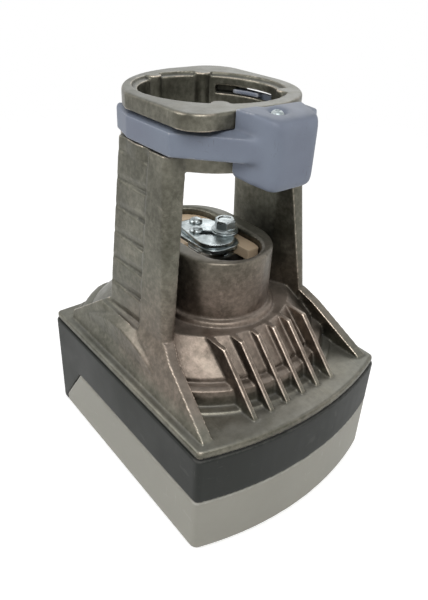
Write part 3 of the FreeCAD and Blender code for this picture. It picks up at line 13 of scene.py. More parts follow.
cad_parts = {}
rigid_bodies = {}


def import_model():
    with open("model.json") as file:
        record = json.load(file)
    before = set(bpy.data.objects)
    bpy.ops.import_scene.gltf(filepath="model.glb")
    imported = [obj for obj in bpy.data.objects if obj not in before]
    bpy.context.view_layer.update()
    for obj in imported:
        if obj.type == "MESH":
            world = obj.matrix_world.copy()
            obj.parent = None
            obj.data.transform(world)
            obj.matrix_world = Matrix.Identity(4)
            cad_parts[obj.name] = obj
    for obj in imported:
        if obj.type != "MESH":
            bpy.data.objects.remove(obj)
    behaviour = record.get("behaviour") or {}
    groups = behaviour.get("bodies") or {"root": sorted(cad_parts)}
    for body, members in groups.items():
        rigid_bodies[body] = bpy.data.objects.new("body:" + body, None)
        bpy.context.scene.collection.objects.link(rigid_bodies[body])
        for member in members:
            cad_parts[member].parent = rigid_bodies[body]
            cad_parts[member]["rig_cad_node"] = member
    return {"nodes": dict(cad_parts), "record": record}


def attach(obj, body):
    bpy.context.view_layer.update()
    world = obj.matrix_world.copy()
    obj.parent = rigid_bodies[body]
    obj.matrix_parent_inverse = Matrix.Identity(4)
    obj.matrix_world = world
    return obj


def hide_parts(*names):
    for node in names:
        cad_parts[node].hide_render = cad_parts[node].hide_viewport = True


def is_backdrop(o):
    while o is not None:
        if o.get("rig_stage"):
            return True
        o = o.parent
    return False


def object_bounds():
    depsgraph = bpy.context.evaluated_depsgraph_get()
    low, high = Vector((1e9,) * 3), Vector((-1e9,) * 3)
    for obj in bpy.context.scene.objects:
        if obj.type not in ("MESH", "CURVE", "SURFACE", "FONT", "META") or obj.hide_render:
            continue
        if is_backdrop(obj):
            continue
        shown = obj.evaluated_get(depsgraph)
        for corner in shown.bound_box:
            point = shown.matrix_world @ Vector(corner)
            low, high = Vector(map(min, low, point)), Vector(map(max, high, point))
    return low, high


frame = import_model()
LOG = logging.getLogger("actuator")
MM = 0.001
Colour = tuple[float, float, float]
Point = tuple[float, float, float]
Pair = tuple[float, float]
Rule = Callable[[float], float]
Socket = bpy.types.NodeSocket
EVEN: Point = (1.0, 1.0, 1.0)
ORIGIN: Point = (0.0, 0.0, 0.0)
WHITE: Colour = (1.0, 1.0, 1.0)


class Body(str, Enum):
    """Bodies of the frame that new pieces ride on."""

    HOUSING = "housing"
    BOW = "bow"
    BOW_SCREW = "bow_screw"
    STEM = "stem_drive"
    STEM_BOLT = "stem_bolt"


class Mask(str, Enum):
    """Point attributes that the softened pieces carry for their materials."""

    EDGE = "worn_edge"
    HOLLOW = "sheltered_hollow"


# Shader nodes and the effects that several finishes share


class Sheet:
    """Places and joins nodes in one node tree."""

    mix_inputs: tuple[int, ...] = (0, 6, 7)
    mix_output: int = 2

    def __init__(self, tree: bpy.types.NodeTree) -> None:
        """Keeps the tree that nodes go into."""
        self.tree = tree

    def add(self, kind: str, **settings: object) -> bpy.types.Node:
        """Adds a node.

        Args:
            kind: Blender's name of the node type.
            settings: properties of the node, by name.

        Returns:
            The new node.
        """
        node = self.tree.nodes.new(kind)
        for name, value in settings.items():
            setattr(node, name, value)
        return node

    def feed(self, socket: Socket, value: object) -> None:
        """Joins a socket to an output, or gives it a plain number or colour.

        Args:
            socket: the input to feed.
            value: another node's output, a number, a colour or a vector.
        """
        if isinstance(value, Socket):
            self.tree.links.new(value, socket)
        elif isinstance(value, tuple) and len(value) == 3 and socket.type == "RGBA":
            socket.default_value = (*value, 1.0)
        else:
            socket.default_value = value

    def maths(self, operation: str, first: object, second: object, clamp: bool = False) -> Socket:
        """Adds a Math node.

        Args:
            operation: the node's operation.
            first: number or socket for the first input.
            second: number or socket for the second input.
            clamp: keeps the result from 0 to 1.

        Returns:
            The node's result.
        """
        node = self.add("ShaderNodeMath", operation=operation, use_clamp=clamp)
        self.feed(node.inputs[0], first)
        self.feed(node.inputs[1], second)
        return node.outputs[0]

    def times(self, first: object, second: object, clamp: bool = False) -> Socket:
        """Multiplies two values."""
        return self.maths("MULTIPLY", first, second, clamp)

    def plus(self, first: object, second: object, clamp: bool = False) -> Socket:
        """Adds two values."""
        return self.maths("ADD", first, second, clamp)

    def less(self, first: object, second: object) -> Socket:
        """Takes the second value from the first."""
        return self.maths("SUBTRACT", first, second)

    def spread(self, value: object, low: object, high: object, to_low: float = 0.0,
               to_high: float = 1.0) -> Socket:
        """Maps a range of values to another one, and keeps the result inside it.

        Args:
            value: the value to map.
            low: value that gives to_low.
            high: value that gives to_high.
            to_low: result at the low end.
            to_high: result at the high end.

        Returns:
            The mapped value.
        """
        node = self.add("ShaderNodeMapRange", clamp=True)
        for socket, number in zip(node.inputs[:5], (value, low, high, to_low, to_high)):
            self.feed(socket, number)
        return node.outputs[0]

    def between(self, share: object, first: float, second: float) -> Socket:
        """Gives the number that lies between two others by a share from 0 to 1."""
        return self.spread(share, 0.0, 1.0, first, second)

    def blend(self, share: object, first: object, second: object) -> Socket:
        """Mixes two colours.

        Args:
            share: part of the second colour, from 0 to 1.
            first: colour at 0.
            second: colour at 1.

        Returns:
            The mixed colour.
        """
        node = self.add("ShaderNodeMix", data_type="RGBA")
        for index, value in zip(self.mix_inputs, (share, first, second)):
            self.feed(node.inputs[index], value)
        return node.outputs[self.mix_output]

    def noise(self, place: object, scale: object, detail: float = 3.0, rough: float = 0.5) -> Socket:
        """Adds a noise.

        Args:
            place: where it is read.
            scale: waves to the metre.
            detail: octaves.
            rough: strength of each finer octave.

        Returns:
            The noise's value.
        """
        node = self.add("ShaderNodeTexNoise")
        self.feed(node.inputs["Vector"], place)
        self.feed(node.inputs["Scale"], scale)
        node.inputs["Detail"].default_value = detail
        node.inputs["Roughness"].default_value = rough
        return node.outputs["Fac"]

    def place(self, stretch: Point = EVEN, turn: Point = ORIGIN) -> Socket:
        """Gives object coordinates.

        Args:
            stretch: factors along the axes, for a finish with a direction.
            turn: rotation before the stretch, in radians.

        Returns:
            The coordinates.
        """
        source = self.add("ShaderNodeTexCoord").outputs["Object"]
        if (stretch, turn) == (EVEN, ORIGIN):
            return source
        node = self.add("ShaderNodeMapping")
        self.feed(node.inputs["Vector"], source)
        node.inputs["Rotation"].default_value = turn
        node.inputs["Scale"].default_value = stretch
        return node.outputs[0]

    def upward(self, vector: Socket) -> Socket:
        """Gives the Z part of a vector.

        Args:
            vector: the vector.

        Returns:
            Its Z part.
        """
        node = self.add("ShaderNodeSeparateXYZ")
        self.feed(node.inputs[0], vector)
        return node.outputs["Z"]


class Effect:
    """A shader group that several finishes share, built once."""

    title = ""
    numbers: dict[str, float] = {}
    outputs: tuple[str, ...] = ()
    made: dict[str, bpy.types.NodeTree] = {}

    def __init__(self, tree: bpy.types.NodeTree) -> None:
        """Opens the group's tree and its ends.

        Args:
            tree: the group's node tree.
        """
        self.sheet = Sheet(tree)
        self.given = self.sheet.add("NodeGroupInput").outputs
        self.out = self.sheet.add("NodeGroupOutput").inputs

    @classmethod
    def group(cls) -> bpy.types.NodeTree:
        """Builds the group, or gives the one already built.

        Returns:
            The group's node tree.
        """
        if cls.title not in cls.made:
            tree = bpy.data.node_groups.new(cls.title, "ShaderNodeTree")
            for name, usual in cls.numbers.items():
                socket = tree.interface.new_socket(name, in_out="INPUT", socket_type="NodeSocketFloat")
                socket.default_value = usual
            for name in cls.outputs:
                tree.interface.new_socket(name, in_out="OUTPUT", socket_type="NodeSocketFloat")
            cls(tree).fill()
            cls.made[cls.title] = tree
        return cls.made[cls.title]

    def fill(self) -> None:
        """Places the nodes between the group's ends."""
        raise NotImplementedError

    def ramp(self, value: object, low: object, high: object) -> Socket:
        """Maps a range to 0 to 1 with soft ends.

        Args:
            value: the value to map.
            low: value that gives 0.
            high: value that gives 1.

        Returns:
            The mapped value.
        """
        node = self.sheet.add("ShaderNodeMapRange", clamp=True, interpolation_type="SMOOTHSTEP")
        for socket, number in zip(node.inputs[:3], (value, low, high)):
            self.sheet.feed(socket, number)
        return node.outputs[0]

    def mask(self, name: Mask) -> Socket:
        """Reads one of the softened pieces' masks."""
        return self.sheet.add("ShaderNodeAttribute", attribute_name=name.value).outputs["Fac"]


class CastSkin(Effect):
    """Grain and shallow pits of a die-cast or moulded skin."""

    title = "cast_skin"
    numbers = {"Scale": 900.0, "Pits": 0.12}
    outputs = ("Height", "Tone")
    broad_scale: float = 0.12
    pit_scale: float = 0.35
    fine_height: float = 0.5
    broad_height: float = 0.9
    pit_floor: float = 0.6
    tones: Pair = (0.3, 0.7)

    def fill(self) -> None:
        """Adds fine and broad grain, and lowers it in scattered pits."""
        sheet = self.sheet
        place = sheet.place()
        scale = self.given["Scale"]
        fine = sheet.noise(place, scale, detail=5.0, rough=0.6)
        broad = sheet.noise(place, sheet.times(scale, self.broad_scale))
        pits = sheet.add("ShaderNodeTexVoronoi")
        sheet.feed(pits.inputs["Vector"], place)
        sheet.feed(pits.inputs["Scale"], sheet.times(scale, self.pit_scale))
        pit = sheet.spread(pits.outputs["Distance"], 0.0, self.given["Pits"])
        height = sheet.plus(sheet.times(fine, self.fine_height), sheet.times(broad, self.broad_height))
        sheet.feed(self.out["Height"], sheet.times(height, sheet.between(pit, self.pit_floor, 1.0)))
        sheet.feed(self.out["Tone"], sheet.spread(broad, *self.tones))


class Patches(Effect):
    """Soft uneven patches, such as oxide, handling marks or faded plastic."""

    title = "patches"
    numbers = {"Scale": 25.0, "Softness": 0.3}
    outputs = ("Mask",)
    warp_scale: float = 0.5
    warp_reach: Point = (0.02, 0.02, 0.02)
    middle: float = 0.5

    def fill(self) -> None:
        """Bends a noise by another one and cuts it softly."""
        sheet = self.sheet
        place = sheet.place()
        warp = sheet.add("ShaderNodeTexNoise")
        sheet.feed(warp.inputs["Vector"], place)
        sheet.feed(warp.inputs["Scale"], sheet.times(self.given["Scale"], self.warp_scale))
        shift = sheet.add("ShaderNodeVectorMath", operation="MULTIPLY_ADD")
        sheet.feed(shift.inputs[0], warp.outputs["Color"])
        shift.inputs[1].default_value = self.warp_reach
        sheet.feed(shift.inputs[2], place)
        value = sheet.noise(shift.outputs[0], self.given["Scale"], detail=6.0, rough=0.6)
        half = sheet.times(self.given["Softness"], 0.5)
        low = sheet.less(self.middle, half)
        high = sheet.plus(self.middle, half)
        sheet.feed(self.out["Mask"], self.ramp(value, low, high))


class EdgeWear(Effect):
    """Rubbed edges, broken up by a noise."""

    title = "edge_wear"
    numbers = {"Amount": 0.5, "Scale": 160.0}
    outputs = ("Mask",)
    breaks: Pair = (0.30, 0.66)
    strength: Pair = (0.70, 1.20)
    limit: float = 1.15
    onset: float = 0.35

    def fill(self) -> None:
        """Lets the noise lift and lower the mask of the edges."""
        sheet = self.sheet
        broken = sheet.noise(sheet.place(), self.given["Scale"], detail=4.0, rough=0.6)
        lifted = sheet.times(self.mask(Mask.EDGE), sheet.spread(broken, *self.breaks, *self.strength))
        high = sheet.less(self.limit, self.given["Amount"])
        sheet.feed(self.out["Mask"], self.ramp(lifted, sheet.times(high, self.onset), high))


class GrimeAndShade(Effect):
    """Soiling and painted shade in inner corners, and dust with painted shade on faces that look up."""

    title = "grime"
    numbers = {"Scale": 70.0, "Corners": 0.8, "Dust": 0.4}
    outputs = ("Corner", "Dust")
    corner_noise: Pair = (0.3, 0.6)
    corner_strength: Pair = (0.35, 1.2)
    level: Pair = (0.6, 1.0)
    dust_noise: Pair = (0.35, 0.7)
    dust_strength: Pair = (0.35, 1.0)

    def fill(self) -> None:
        """Reads the hollows and the level faces, and makes both uneven."""
        sheet = self.sheet
        uneven = sheet.noise(sheet.place(), self.given["Scale"], detail=4.0, rough=0.6)
        broken = sheet.spread(uneven, *self.corner_noise, *self.corner_strength)
        # Hollow mask broken by noise: soiling plus painted shade where the surface curves inward.
        corner = sheet.times(self.mask(Mask.HOLLOW), broken, clamp=True)
        normal = sheet.add("ShaderNodeNewGeometry").outputs["Normal"]
        level = sheet.spread(sheet.upward(normal), *self.level)
        # Faces that look up, broken by noise: dust plus painted shade on the tops.
        top_dust_and_shade = sheet.times(level, sheet.spread(uneven, *self.dust_noise, *self.dust_strength))
        sheet.feed(self.out["Corner"], sheet.times(corner, self.given["Corners"], clamp=True))
        sheet.feed(self.out["Dust"], sheet.times(top_dust_and_shade, self.given["Dust"], clamp=True))


class Scratches(Effect):
    """Thin scuffs in a few directions."""

    title = "scratches"
    numbers = {"Scale": 60.0, "Amount": 0.6}
    outputs = ("Mask",)
    strokes: tuple[tuple[Point, Point], ...] = (
        ((1.0, 14.0, 1.0), (0.2, 0.1, 0.5)),
        ((12.0, 1.0, 2.0), (0.2, 0.1, -0.3)),
        ((3.0, 1.0, 16.0), (0.2, 0.1, 0.9)),
    )
    line: Pair = (0.66, 0.72)
    field_scale: float = 22.0
    field_edge: Pair = (0.45, 0.62)

    def fill(self) -> None:
        """Cuts thin lines out of stretched noises and keeps them in patches."""
        sheet = self.sheet
        total: object = 0.0
        for stretch, turn in self.strokes:
            stroke = sheet.noise(sheet.place(stretch, turn), self.given["Scale"], detail=2.0, rough=0.7)
            total = sheet.plus(total, sheet.spread(stroke, *self.line))
        where = sheet.spread(sheet.noise(sheet.place(), self.field_scale, detail=2.0), *self.field_edge)
        scuffs = sheet.times(total, where, clamp=True)
        sheet.feed(self.out["Mask"], sheet.times(scuffs, self.given["Amount"], clamp=True))


class MaterialSheet(Sheet):
    """Nodes of one material, with its shader ready to be fed."""

    def __init__(self, name: str) -> None:
        """Makes the material and its shader.

        Args:
            name: the material's name.
        """
        self.material = bpy.data.materials.new(name)
        self.material.use_nodes = True
        super().__init__(self.material.node_tree)
        self.tree.nodes.clear()
        self.shader = self.add("ShaderNodeBsdfPrincipled")
        output = self.add("ShaderNodeOutputMaterial")
        self.tree.links.new(self.shader.outputs[0], output.inputs["Surface"])

    def effect(self, kind: type[Effect], **numbers: float) -> bpy.types.bpy_prop_collection:
        """Places a shared group with this material's own values.

        Args:
            kind: the effect.
            numbers: values of the group's inputs.

        Returns:
            The group's outputs.
        """
        node = self.add("ShaderNodeGroup", node_tree=kind.group())
        for name, number in numbers.items():
            node.inputs[name].default_value = number
        return node.outputs

    def surface(self, **values: object) -> None:
        """Feeds the shader's sockets, with underscores for the spaces of their names."""
        for name, value in values.items():
            self.feed(self.shader.inputs[name.replace("_", " ")], value)

    def relief(self, height: object, depth_mm: float, strength: float) -> None:
        """Turns a height into the surface's normal.

        Args:
            height: socket with the height, from 0 to 1.
            depth_mm: depth of the relief.
            strength: how much of it shows.
        """
        node = self.add("ShaderNodeBump")
        node.inputs["Strength"].default_value = strength
        node.inputs["Distance"].default_value = depth_mm * MM
        self.feed(node.inputs["Height"], height)
        self.feed(self.shader.inputs["Normal"], node.outputs[0])


# Finishes, one for each material slot of the record. A relief is its depth in mm and its strength.


@dataclass(frozen=True)
class CastAluminium:
    """Dull oxidised die-cast aluminium, olive grey, browner round the hub, rubbed bright along its edges,
    with painted shade in its hollows and on faces that look up.
    """

    name: str = "cast_aluminium"
    olive: Colour = (0.070, 0.070, 0.053)
    brown: Colour = (0.070, 0.057, 0.044)
    pale: Colour = (0.262, 0.252, 0.205)
    rosy: Colour = (0.318, 0.250, 0.206)
    worn: Colour = (0.470, 0.410, 0.335)
    rubbed: Colour = (0.660, 0.545, 0.450)
    # Dark colour of the hollows: painted shade with some soiling.
    dirt_and_shade: Colour = (0.022, 0.021, 0.018)
    # Colours of the dull film on faces that look up: dust, kept dark as painted shade on the tops.
    top_film_and_shade: Colour = (0.150, 0.153, 0.134)
    warm_top_film_and_shade: Colour = (0.290, 0.245, 0.206)
    hub: Point = (-0.008, -0.048, 0.085)
    hub_reach: Pair = (0.050, 0.088)
    plate_rise: Pair = (0.0835, 0.0900)
    plate_stain: float = 0.2
    broad_stain: float = 0.35
    small_scale: float = 320.0
    small_edge: Pair = (0.38, 0.66)
    patch_share: float = 0.26
    small_share: float = 0.30
    tone_share: Pair = (0.5, 1.2)
    # Share of the hollows' painted shade away from the hub and near it.
    hollow_dirt_and_shade_share: Pair = (1.0, 0.38)
    roughness: Pair = (0.32, 0.48)
    wear_polish: float = 0.08
    corner_matting: float = 0.25
    dust_cover: float = 0.6
    metallic: Pair = (0.88, 0.1)
    relief: Pair = (0.22, 0.6)

    def stain(self, sheet: MaterialSheet) -> Socket:
        """Gives the share of brown, which is strongest round the hub.

        Args:
            sheet: nodes of the material.

        Returns:
            1 near the hub, less on the plate, and 0 on the legs and the ring.
        """
        away = sheet.add("ShaderNodeVectorMath", operation="DISTANCE")
        sheet.feed(away.inputs[0], sheet.place())
        away.inputs[1].default_value = self.hub
        near_hub = sheet.spread(away.outputs["Value"], *self.hub_reach, 1.0, 0.0)
        over_plate = sheet.spread(sheet.upward(sheet.place()), *self.plate_rise, self.plate_stain, 1.0)
        return sheet.times(near_hub, over_plate)

    def skin(self, sheet: MaterialSheet, stain: Socket, tone: Socket) -> Socket:
        """Mixes the oxide's colours.

        Args:
            sheet: nodes of the material.
            stain: share of brown.
            tone: broad tone of the cast skin.

        Returns:
            The colour without the dusty film and painted shade of the tops, wear, or the soiling and painted
            shade of the hollows.
        """
        broad = sheet.effect(Patches, Scale=9.0, Softness=0.55)["Mask"]
        patch = sheet.effect(Patches, Scale=26.0, Softness=0.30)["Mask"]
        small = sheet.noise(sheet.place(), self.small_scale, detail=4.0, rough=0.65)
        small = sheet.spread(small, *self.small_edge)
        browned = sheet.maths("MAXIMUM", stain, sheet.times(broad, self.broad_stain))
        base = sheet.blend(browned, self.olive, self.brown)
        bare = sheet.blend(stain, self.pale, self.rosy)
        share = sheet.plus(sheet.times(patch, self.patch_share), sheet.times(small, self.small_share))
        share = sheet.times(share, sheet.between(tone, *self.tone_share), clamp=True)
        return sheet.blend(share, base, bare)

    def gloss(self, sheet: MaterialSheet, tone: Socket, wear: Socket, corner: Socket) -> Socket:
        """Works out the roughness.

        Args:
            sheet: nodes of the material.
            tone: broad tone of the cast skin.
            wear: share of rubbed metal, which is smoother.
            corner: share of soiling and painted shade in the hollows, which is duller.

        Returns:
            The roughness.
        """
        rough = sheet.between(tone, *self.roughness)
        rough = sheet.less(rough, sheet.times(wear, self.wear_polish))
        return sheet.plus(rough, sheet.times(corner, self.corner_matting), clamp=True)

    def build(self) -> bpy.types.Material:
        """Makes the material.

        Returns:
            The material.
        """
        sheet = MaterialSheet(self.name)
        grain = sheet.effect(CastSkin, Scale=900.0, Pits=0.18)
        wear = sheet.effect(EdgeWear, Amount=0.41, Scale=140.0)["Mask"]
        grime = sheet.effect(GrimeAndShade, Scale=60.0, Corners=1.3, Dust=0.75)
        lines = sheet.effect(Scratches, Scale=70.0, Amount=0.14)["Mask"]
        stain = self.stain(sheet)
        # Faces that look up take the film: dust plus painted shade.
        top_film_and_shade = sheet.blend(stain, self.top_film_and_shade, self.warm_top_film_and_shade)
        colour = sheet.blend(grime["Dust"], self.skin(sheet, stain, grain["Tone"]), top_film_and_shade)
        colour = sheet.blend(lines, colour, self.worn)
        colour = sheet.blend(wear, colour, sheet.blend(stain, self.worn, self.rubbed))
        # Painted shade with some soiling in the hollows, weaker round the hub.
        corner = sheet.times(grime["Corner"], sheet.between(stain, *self.hollow_dirt_and_shade_share))
        colour = sheet.blend(corner, colour, self.dirt_and_shade)
        covered = sheet.plus(corner, sheet.times(grime["Dust"], self.dust_cover), clamp=True)
        sheet.surface(Base_Color=colour, Roughness=self.gloss(sheet, grain["Tone"], wear, corner),
                      Metallic=sheet.between(covered, *self.metallic))
        sheet.relief(grain["Height"], *self.relief)
        return sheet.material


@dataclass(frozen=True)
class BowCoat:
    """Matt blue-grey coat of the clamp bow, chipped along its edges, with painted shade on faces that look
    up and in its hollows.
    """

    name: str = "bow_coat"
    coat: Colour = (0.140, 0.157, 0.206)
    faded: Colour = (0.180, 0.208, 0.258)
    bare: Colour = (0.34, 0.35, 0.38)
    # Darker colour of faces that look up: dust plus painted shade on the tops.
    grey: Colour = (0.095, 0.110, 0.136)
    # Dark colour of the scuffs, and of the hollows, where it is painted shade with some soiling.
    dirt_and_shade: Colour = (0.055, 0.054, 0.058)
    roughness: Pair = (0.42, 0.58)
    specular: float = 0.35
    relief: Pair = (0.08, 0.45)

    def build(self) -> bpy.types.Material:
        """Makes the material.

        Returns:
            The material.
        """
        sheet = MaterialSheet(self.name)
        patch = sheet.effect(Patches, Scale=24.0, Softness=0.5)["Mask"]
        skin = sheet.effect(CastSkin, Scale=1500.0, Pits=0.10)["Height"]
        wear = sheet.effect(EdgeWear, Amount=0.34, Scale=240.0)["Mask"]
        grime = sheet.effect(GrimeAndShade, Scale=80.0, Corners=0.7, Dust=0.9)
        lines = sheet.effect(Scratches, Scale=80.0, Amount=0.4)["Mask"]
        colour = sheet.blend(patch, self.coat, self.faded)
        # Tops and hollows are darkened as painted shade, mixed with dust and soiling.
        for share, other in ((grime["Dust"], self.grey), (lines, self.dirt_and_shade), (wear, self.bare),
                             (grime["Corner"], self.dirt_and_shade)):
            colour = sheet.blend(share, colour, other)
        sheet.surface(Base_Color=colour, Roughness=sheet.between(patch, *self.roughness),
                      Specular_IOR_Level=self.specular)
        sheet.relief(skin, *self.relief)
        return sheet.material


@dataclass(frozen=True)
class MouldedPlastic:
    """Fine-grained moulded plastic with scuffs, faded patches, and painted shade with some soiling in its
    hollows.
    """

    name: str
    base: Colour
    faded: Colour
    scuffed: Colour
    dirt_and_shade: Colour = (0.02, 0.02, 0.018)
    roughness: Pair = (0.42, 0.6)
    grain: float = 1900.0
    scuffs: float = 0.4
    specular: float = 0.35
    relief: Pair = (0.03, 0.15)

    def build(self) -> bpy.types.Material:
        """Makes the material.

        Returns:
            The material.
        """
        sheet = MaterialSheet(self.name)
        patch = sheet.effect(Patches, Scale=15.0, Softness=0.6)["Mask"]
        skin = sheet.effect(CastSkin, Scale=self.grain, Pits=0.05)["Height"]
        wear = sheet.effect(EdgeWear, Amount=0.3, Scale=220.0)["Mask"]
        grime = sheet.effect(GrimeAndShade, Scale=55.0, Corners=0.8, Dust=0.2)
        lines = sheet.effect(Scratches, Scale=55.0, Amount=self.scuffs)["Mask"]
        colour = sheet.blend(patch, self.base, self.faded)
        # The hollows take the dark colour: painted shade with some soiling.
        for share, other in ((lines, self.scuffed), (wear, self.scuffed), (grime["Corner"], self.dirt_and_shade)):
            colour = sheet.blend(share, colour, other)
        sheet.surface(Base_Color=colour, Roughness=sheet.between(patch, *self.roughness),
                      Specular_IOR_Level=self.specular)
        sheet.relief(skin, *self.relief)
        return sheet.material


@dataclass(frozen=True)
class PlatedSteel:
    """Plated or turned metal, brushed along one direction, with dull spots, and painted shade with some
    soiling in its hollows.
    """

    name: str
    bright: Colour
    dull: Colour
    stretch: Point = EVEN
    dirt_and_shade: Colour = (0.06, 0.055, 0.045)
    roughness: Pair = (0.22, 0.42)
    brush_scale: float = 900.0
    brush_edge: Pair = (0.3, 0.7)
    brush_rough: Pair = (-0.05, 0.08)
    metallic: float = 1.0
    relief: Pair = (0.02, 0.35)

    def build(self) -> bpy.types.Material:
        """Makes the material.

        Returns:
            The material.
        """
        sheet = MaterialSheet(self.name)
        patch = sheet.effect(Patches, Scale=120.0, Softness=0.5)["Mask"]
        grime = sheet.effect(GrimeAndShade, Scale=160.0, Corners=0.7, Dust=0.1)
        brush = sheet.noise(sheet.place(self.stretch), self.brush_scale, detail=4.0, rough=0.6)
        colour = sheet.blend(patch, self.bright, self.dull)
        # The hollows take the dark colour: painted shade with some soiling.
        colour = sheet.blend(grime["Corner"], colour, self.dirt_and_shade)
        brushed = sheet.spread(brush, *self.brush_edge, *self.brush_rough)
        rough = sheet.plus(sheet.between(patch, *self.roughness), brushed, clamp=True)
        sheet.surface(Base_Color=colour, Roughness=rough, Metallic=self.metallic)
        sheet.relief(brush, *self.relief)
        return sheet.material


class Finishes:
    """All finishes of the actuator by the record's material slots."""

    metals = (
        CastAluminium(),
        BowCoat(),
        PlatedSteel("zinc_steel", (0.58, 0.63, 0.64), (0.20, 0.235, 0.24)),
        PlatedSteel("turned_steel", (0.58, 0.56, 0.53), (0.36, 0.34, 0.31), stretch=(1.0, 1.0, 9.0)),
        PlatedSteel("bronze", (0.55, 0.36, 0.16), (0.34, 0.21, 0.10)),
        PlatedSteel("wheel_brass", (0.68, 0.50, 0.22), (0.45, 0.32, 0.14)),
        PlatedSteel("motor_steel", (0.38, 0.38, 0.40), (0.24, 0.24, 0.25), stretch=(1.0, 1.0, 6.0)),
    )
    plastics = (
        MouldedPlastic("charcoal_plastic", (0.0105, 0.0120, 0.0100), (0.015, 0.0168, 0.0143),
                       (0.050, 0.050, 0.046), dirt_and_shade=(0.006, 0.006, 0.0055), specular=0.2),
        MouldedPlastic("grey_plastic", (0.228, 0.221, 0.187), (0.285, 0.277, 0.240),
                       (0.36, 0.35, 0.315), dirt_and_shade=(0.095, 0.088, 0.07)),
        MouldedPlastic("seal_rubber", (0.018, 0.018, 0.018), (0.03, 0.03, 0.03),
                       (0.05, 0.05, 0.05), roughness=(0.6, 0.8)),
        MouldedPlastic("wheel_plastic", (0.68, 0.66, 0.60), (0.74, 0.73, 0.69),
                       (0.8, 0.79, 0.76), roughness=(0.35, 0.5)),
        MouldedPlastic("guide_plastic", (0.60, 0.455, 0.30), (0.68, 0.53, 0.37),
                       (0.62, 0.5, 0.36), dirt_and_shade=(0.10, 0.07, 0.04), roughness=(0.4, 0.55)),
        MouldedPlastic("board", (0.018, 0.14, 0.052), (0.024, 0.18, 0.07),
                       (0.1, 0.25, 0.12), roughness=(0.2, 0.35), grain=1200.0, scuffs=0.1),
        MouldedPlastic("terminal_plastic", (0.02, 0.06, 0.035), (0.03, 0.08, 0.05), (0.08, 0.12, 0.1)),
        MouldedPlastic("capacitor_sleeve", (0.02, 0.035, 0.16), (0.03, 0.05, 0.2),
                       (0.1, 0.12, 0.25), roughness=(0.22, 0.35)),
    )

    def __init__(self) -> None:
        """Lists the finishes by name."""
        self.plans = {plan.name: plan for plan in (*self.metals, *self.plastics)}
        self.made: dict[str, bpy.types.Material] = {}

    def material(self, slot: str) -> bpy.types.Material:
        """Gives a slot's material, built when it is first asked for.

        Args:
            slot: the record's material slot.

        Returns:
            The material.
        """
        if slot not in self.made:
            self.made[slot] = self.plans[slot].build()
        return self.made[slot]

    def dress(self, piece: bpy.types.Object, slot: str) -> None:
        """Puts a slot's material on a piece.

        Args:
            piece: a new piece or a node of the frame.
            slot: the record's material slot.
        """
        piece.data.materials.clear()
        piece.data.materials.append(self.material(slot))


# Ways of making meshes


@dataclass(frozen=True)
class Blunting:
    """Extra rounding in front of a line from left to right, in millimetres of X and Y."""

    rounds: int
    left: Pair
    right: Pair
    depth: float


@dataclass(frozen=True)
class Softness:
    """How far a piece's edges are rounded, and the share of its faces that is kept."""

    voxel_mm: float
    rounds: int
    keep: float
    blunting: Blunting | None = None


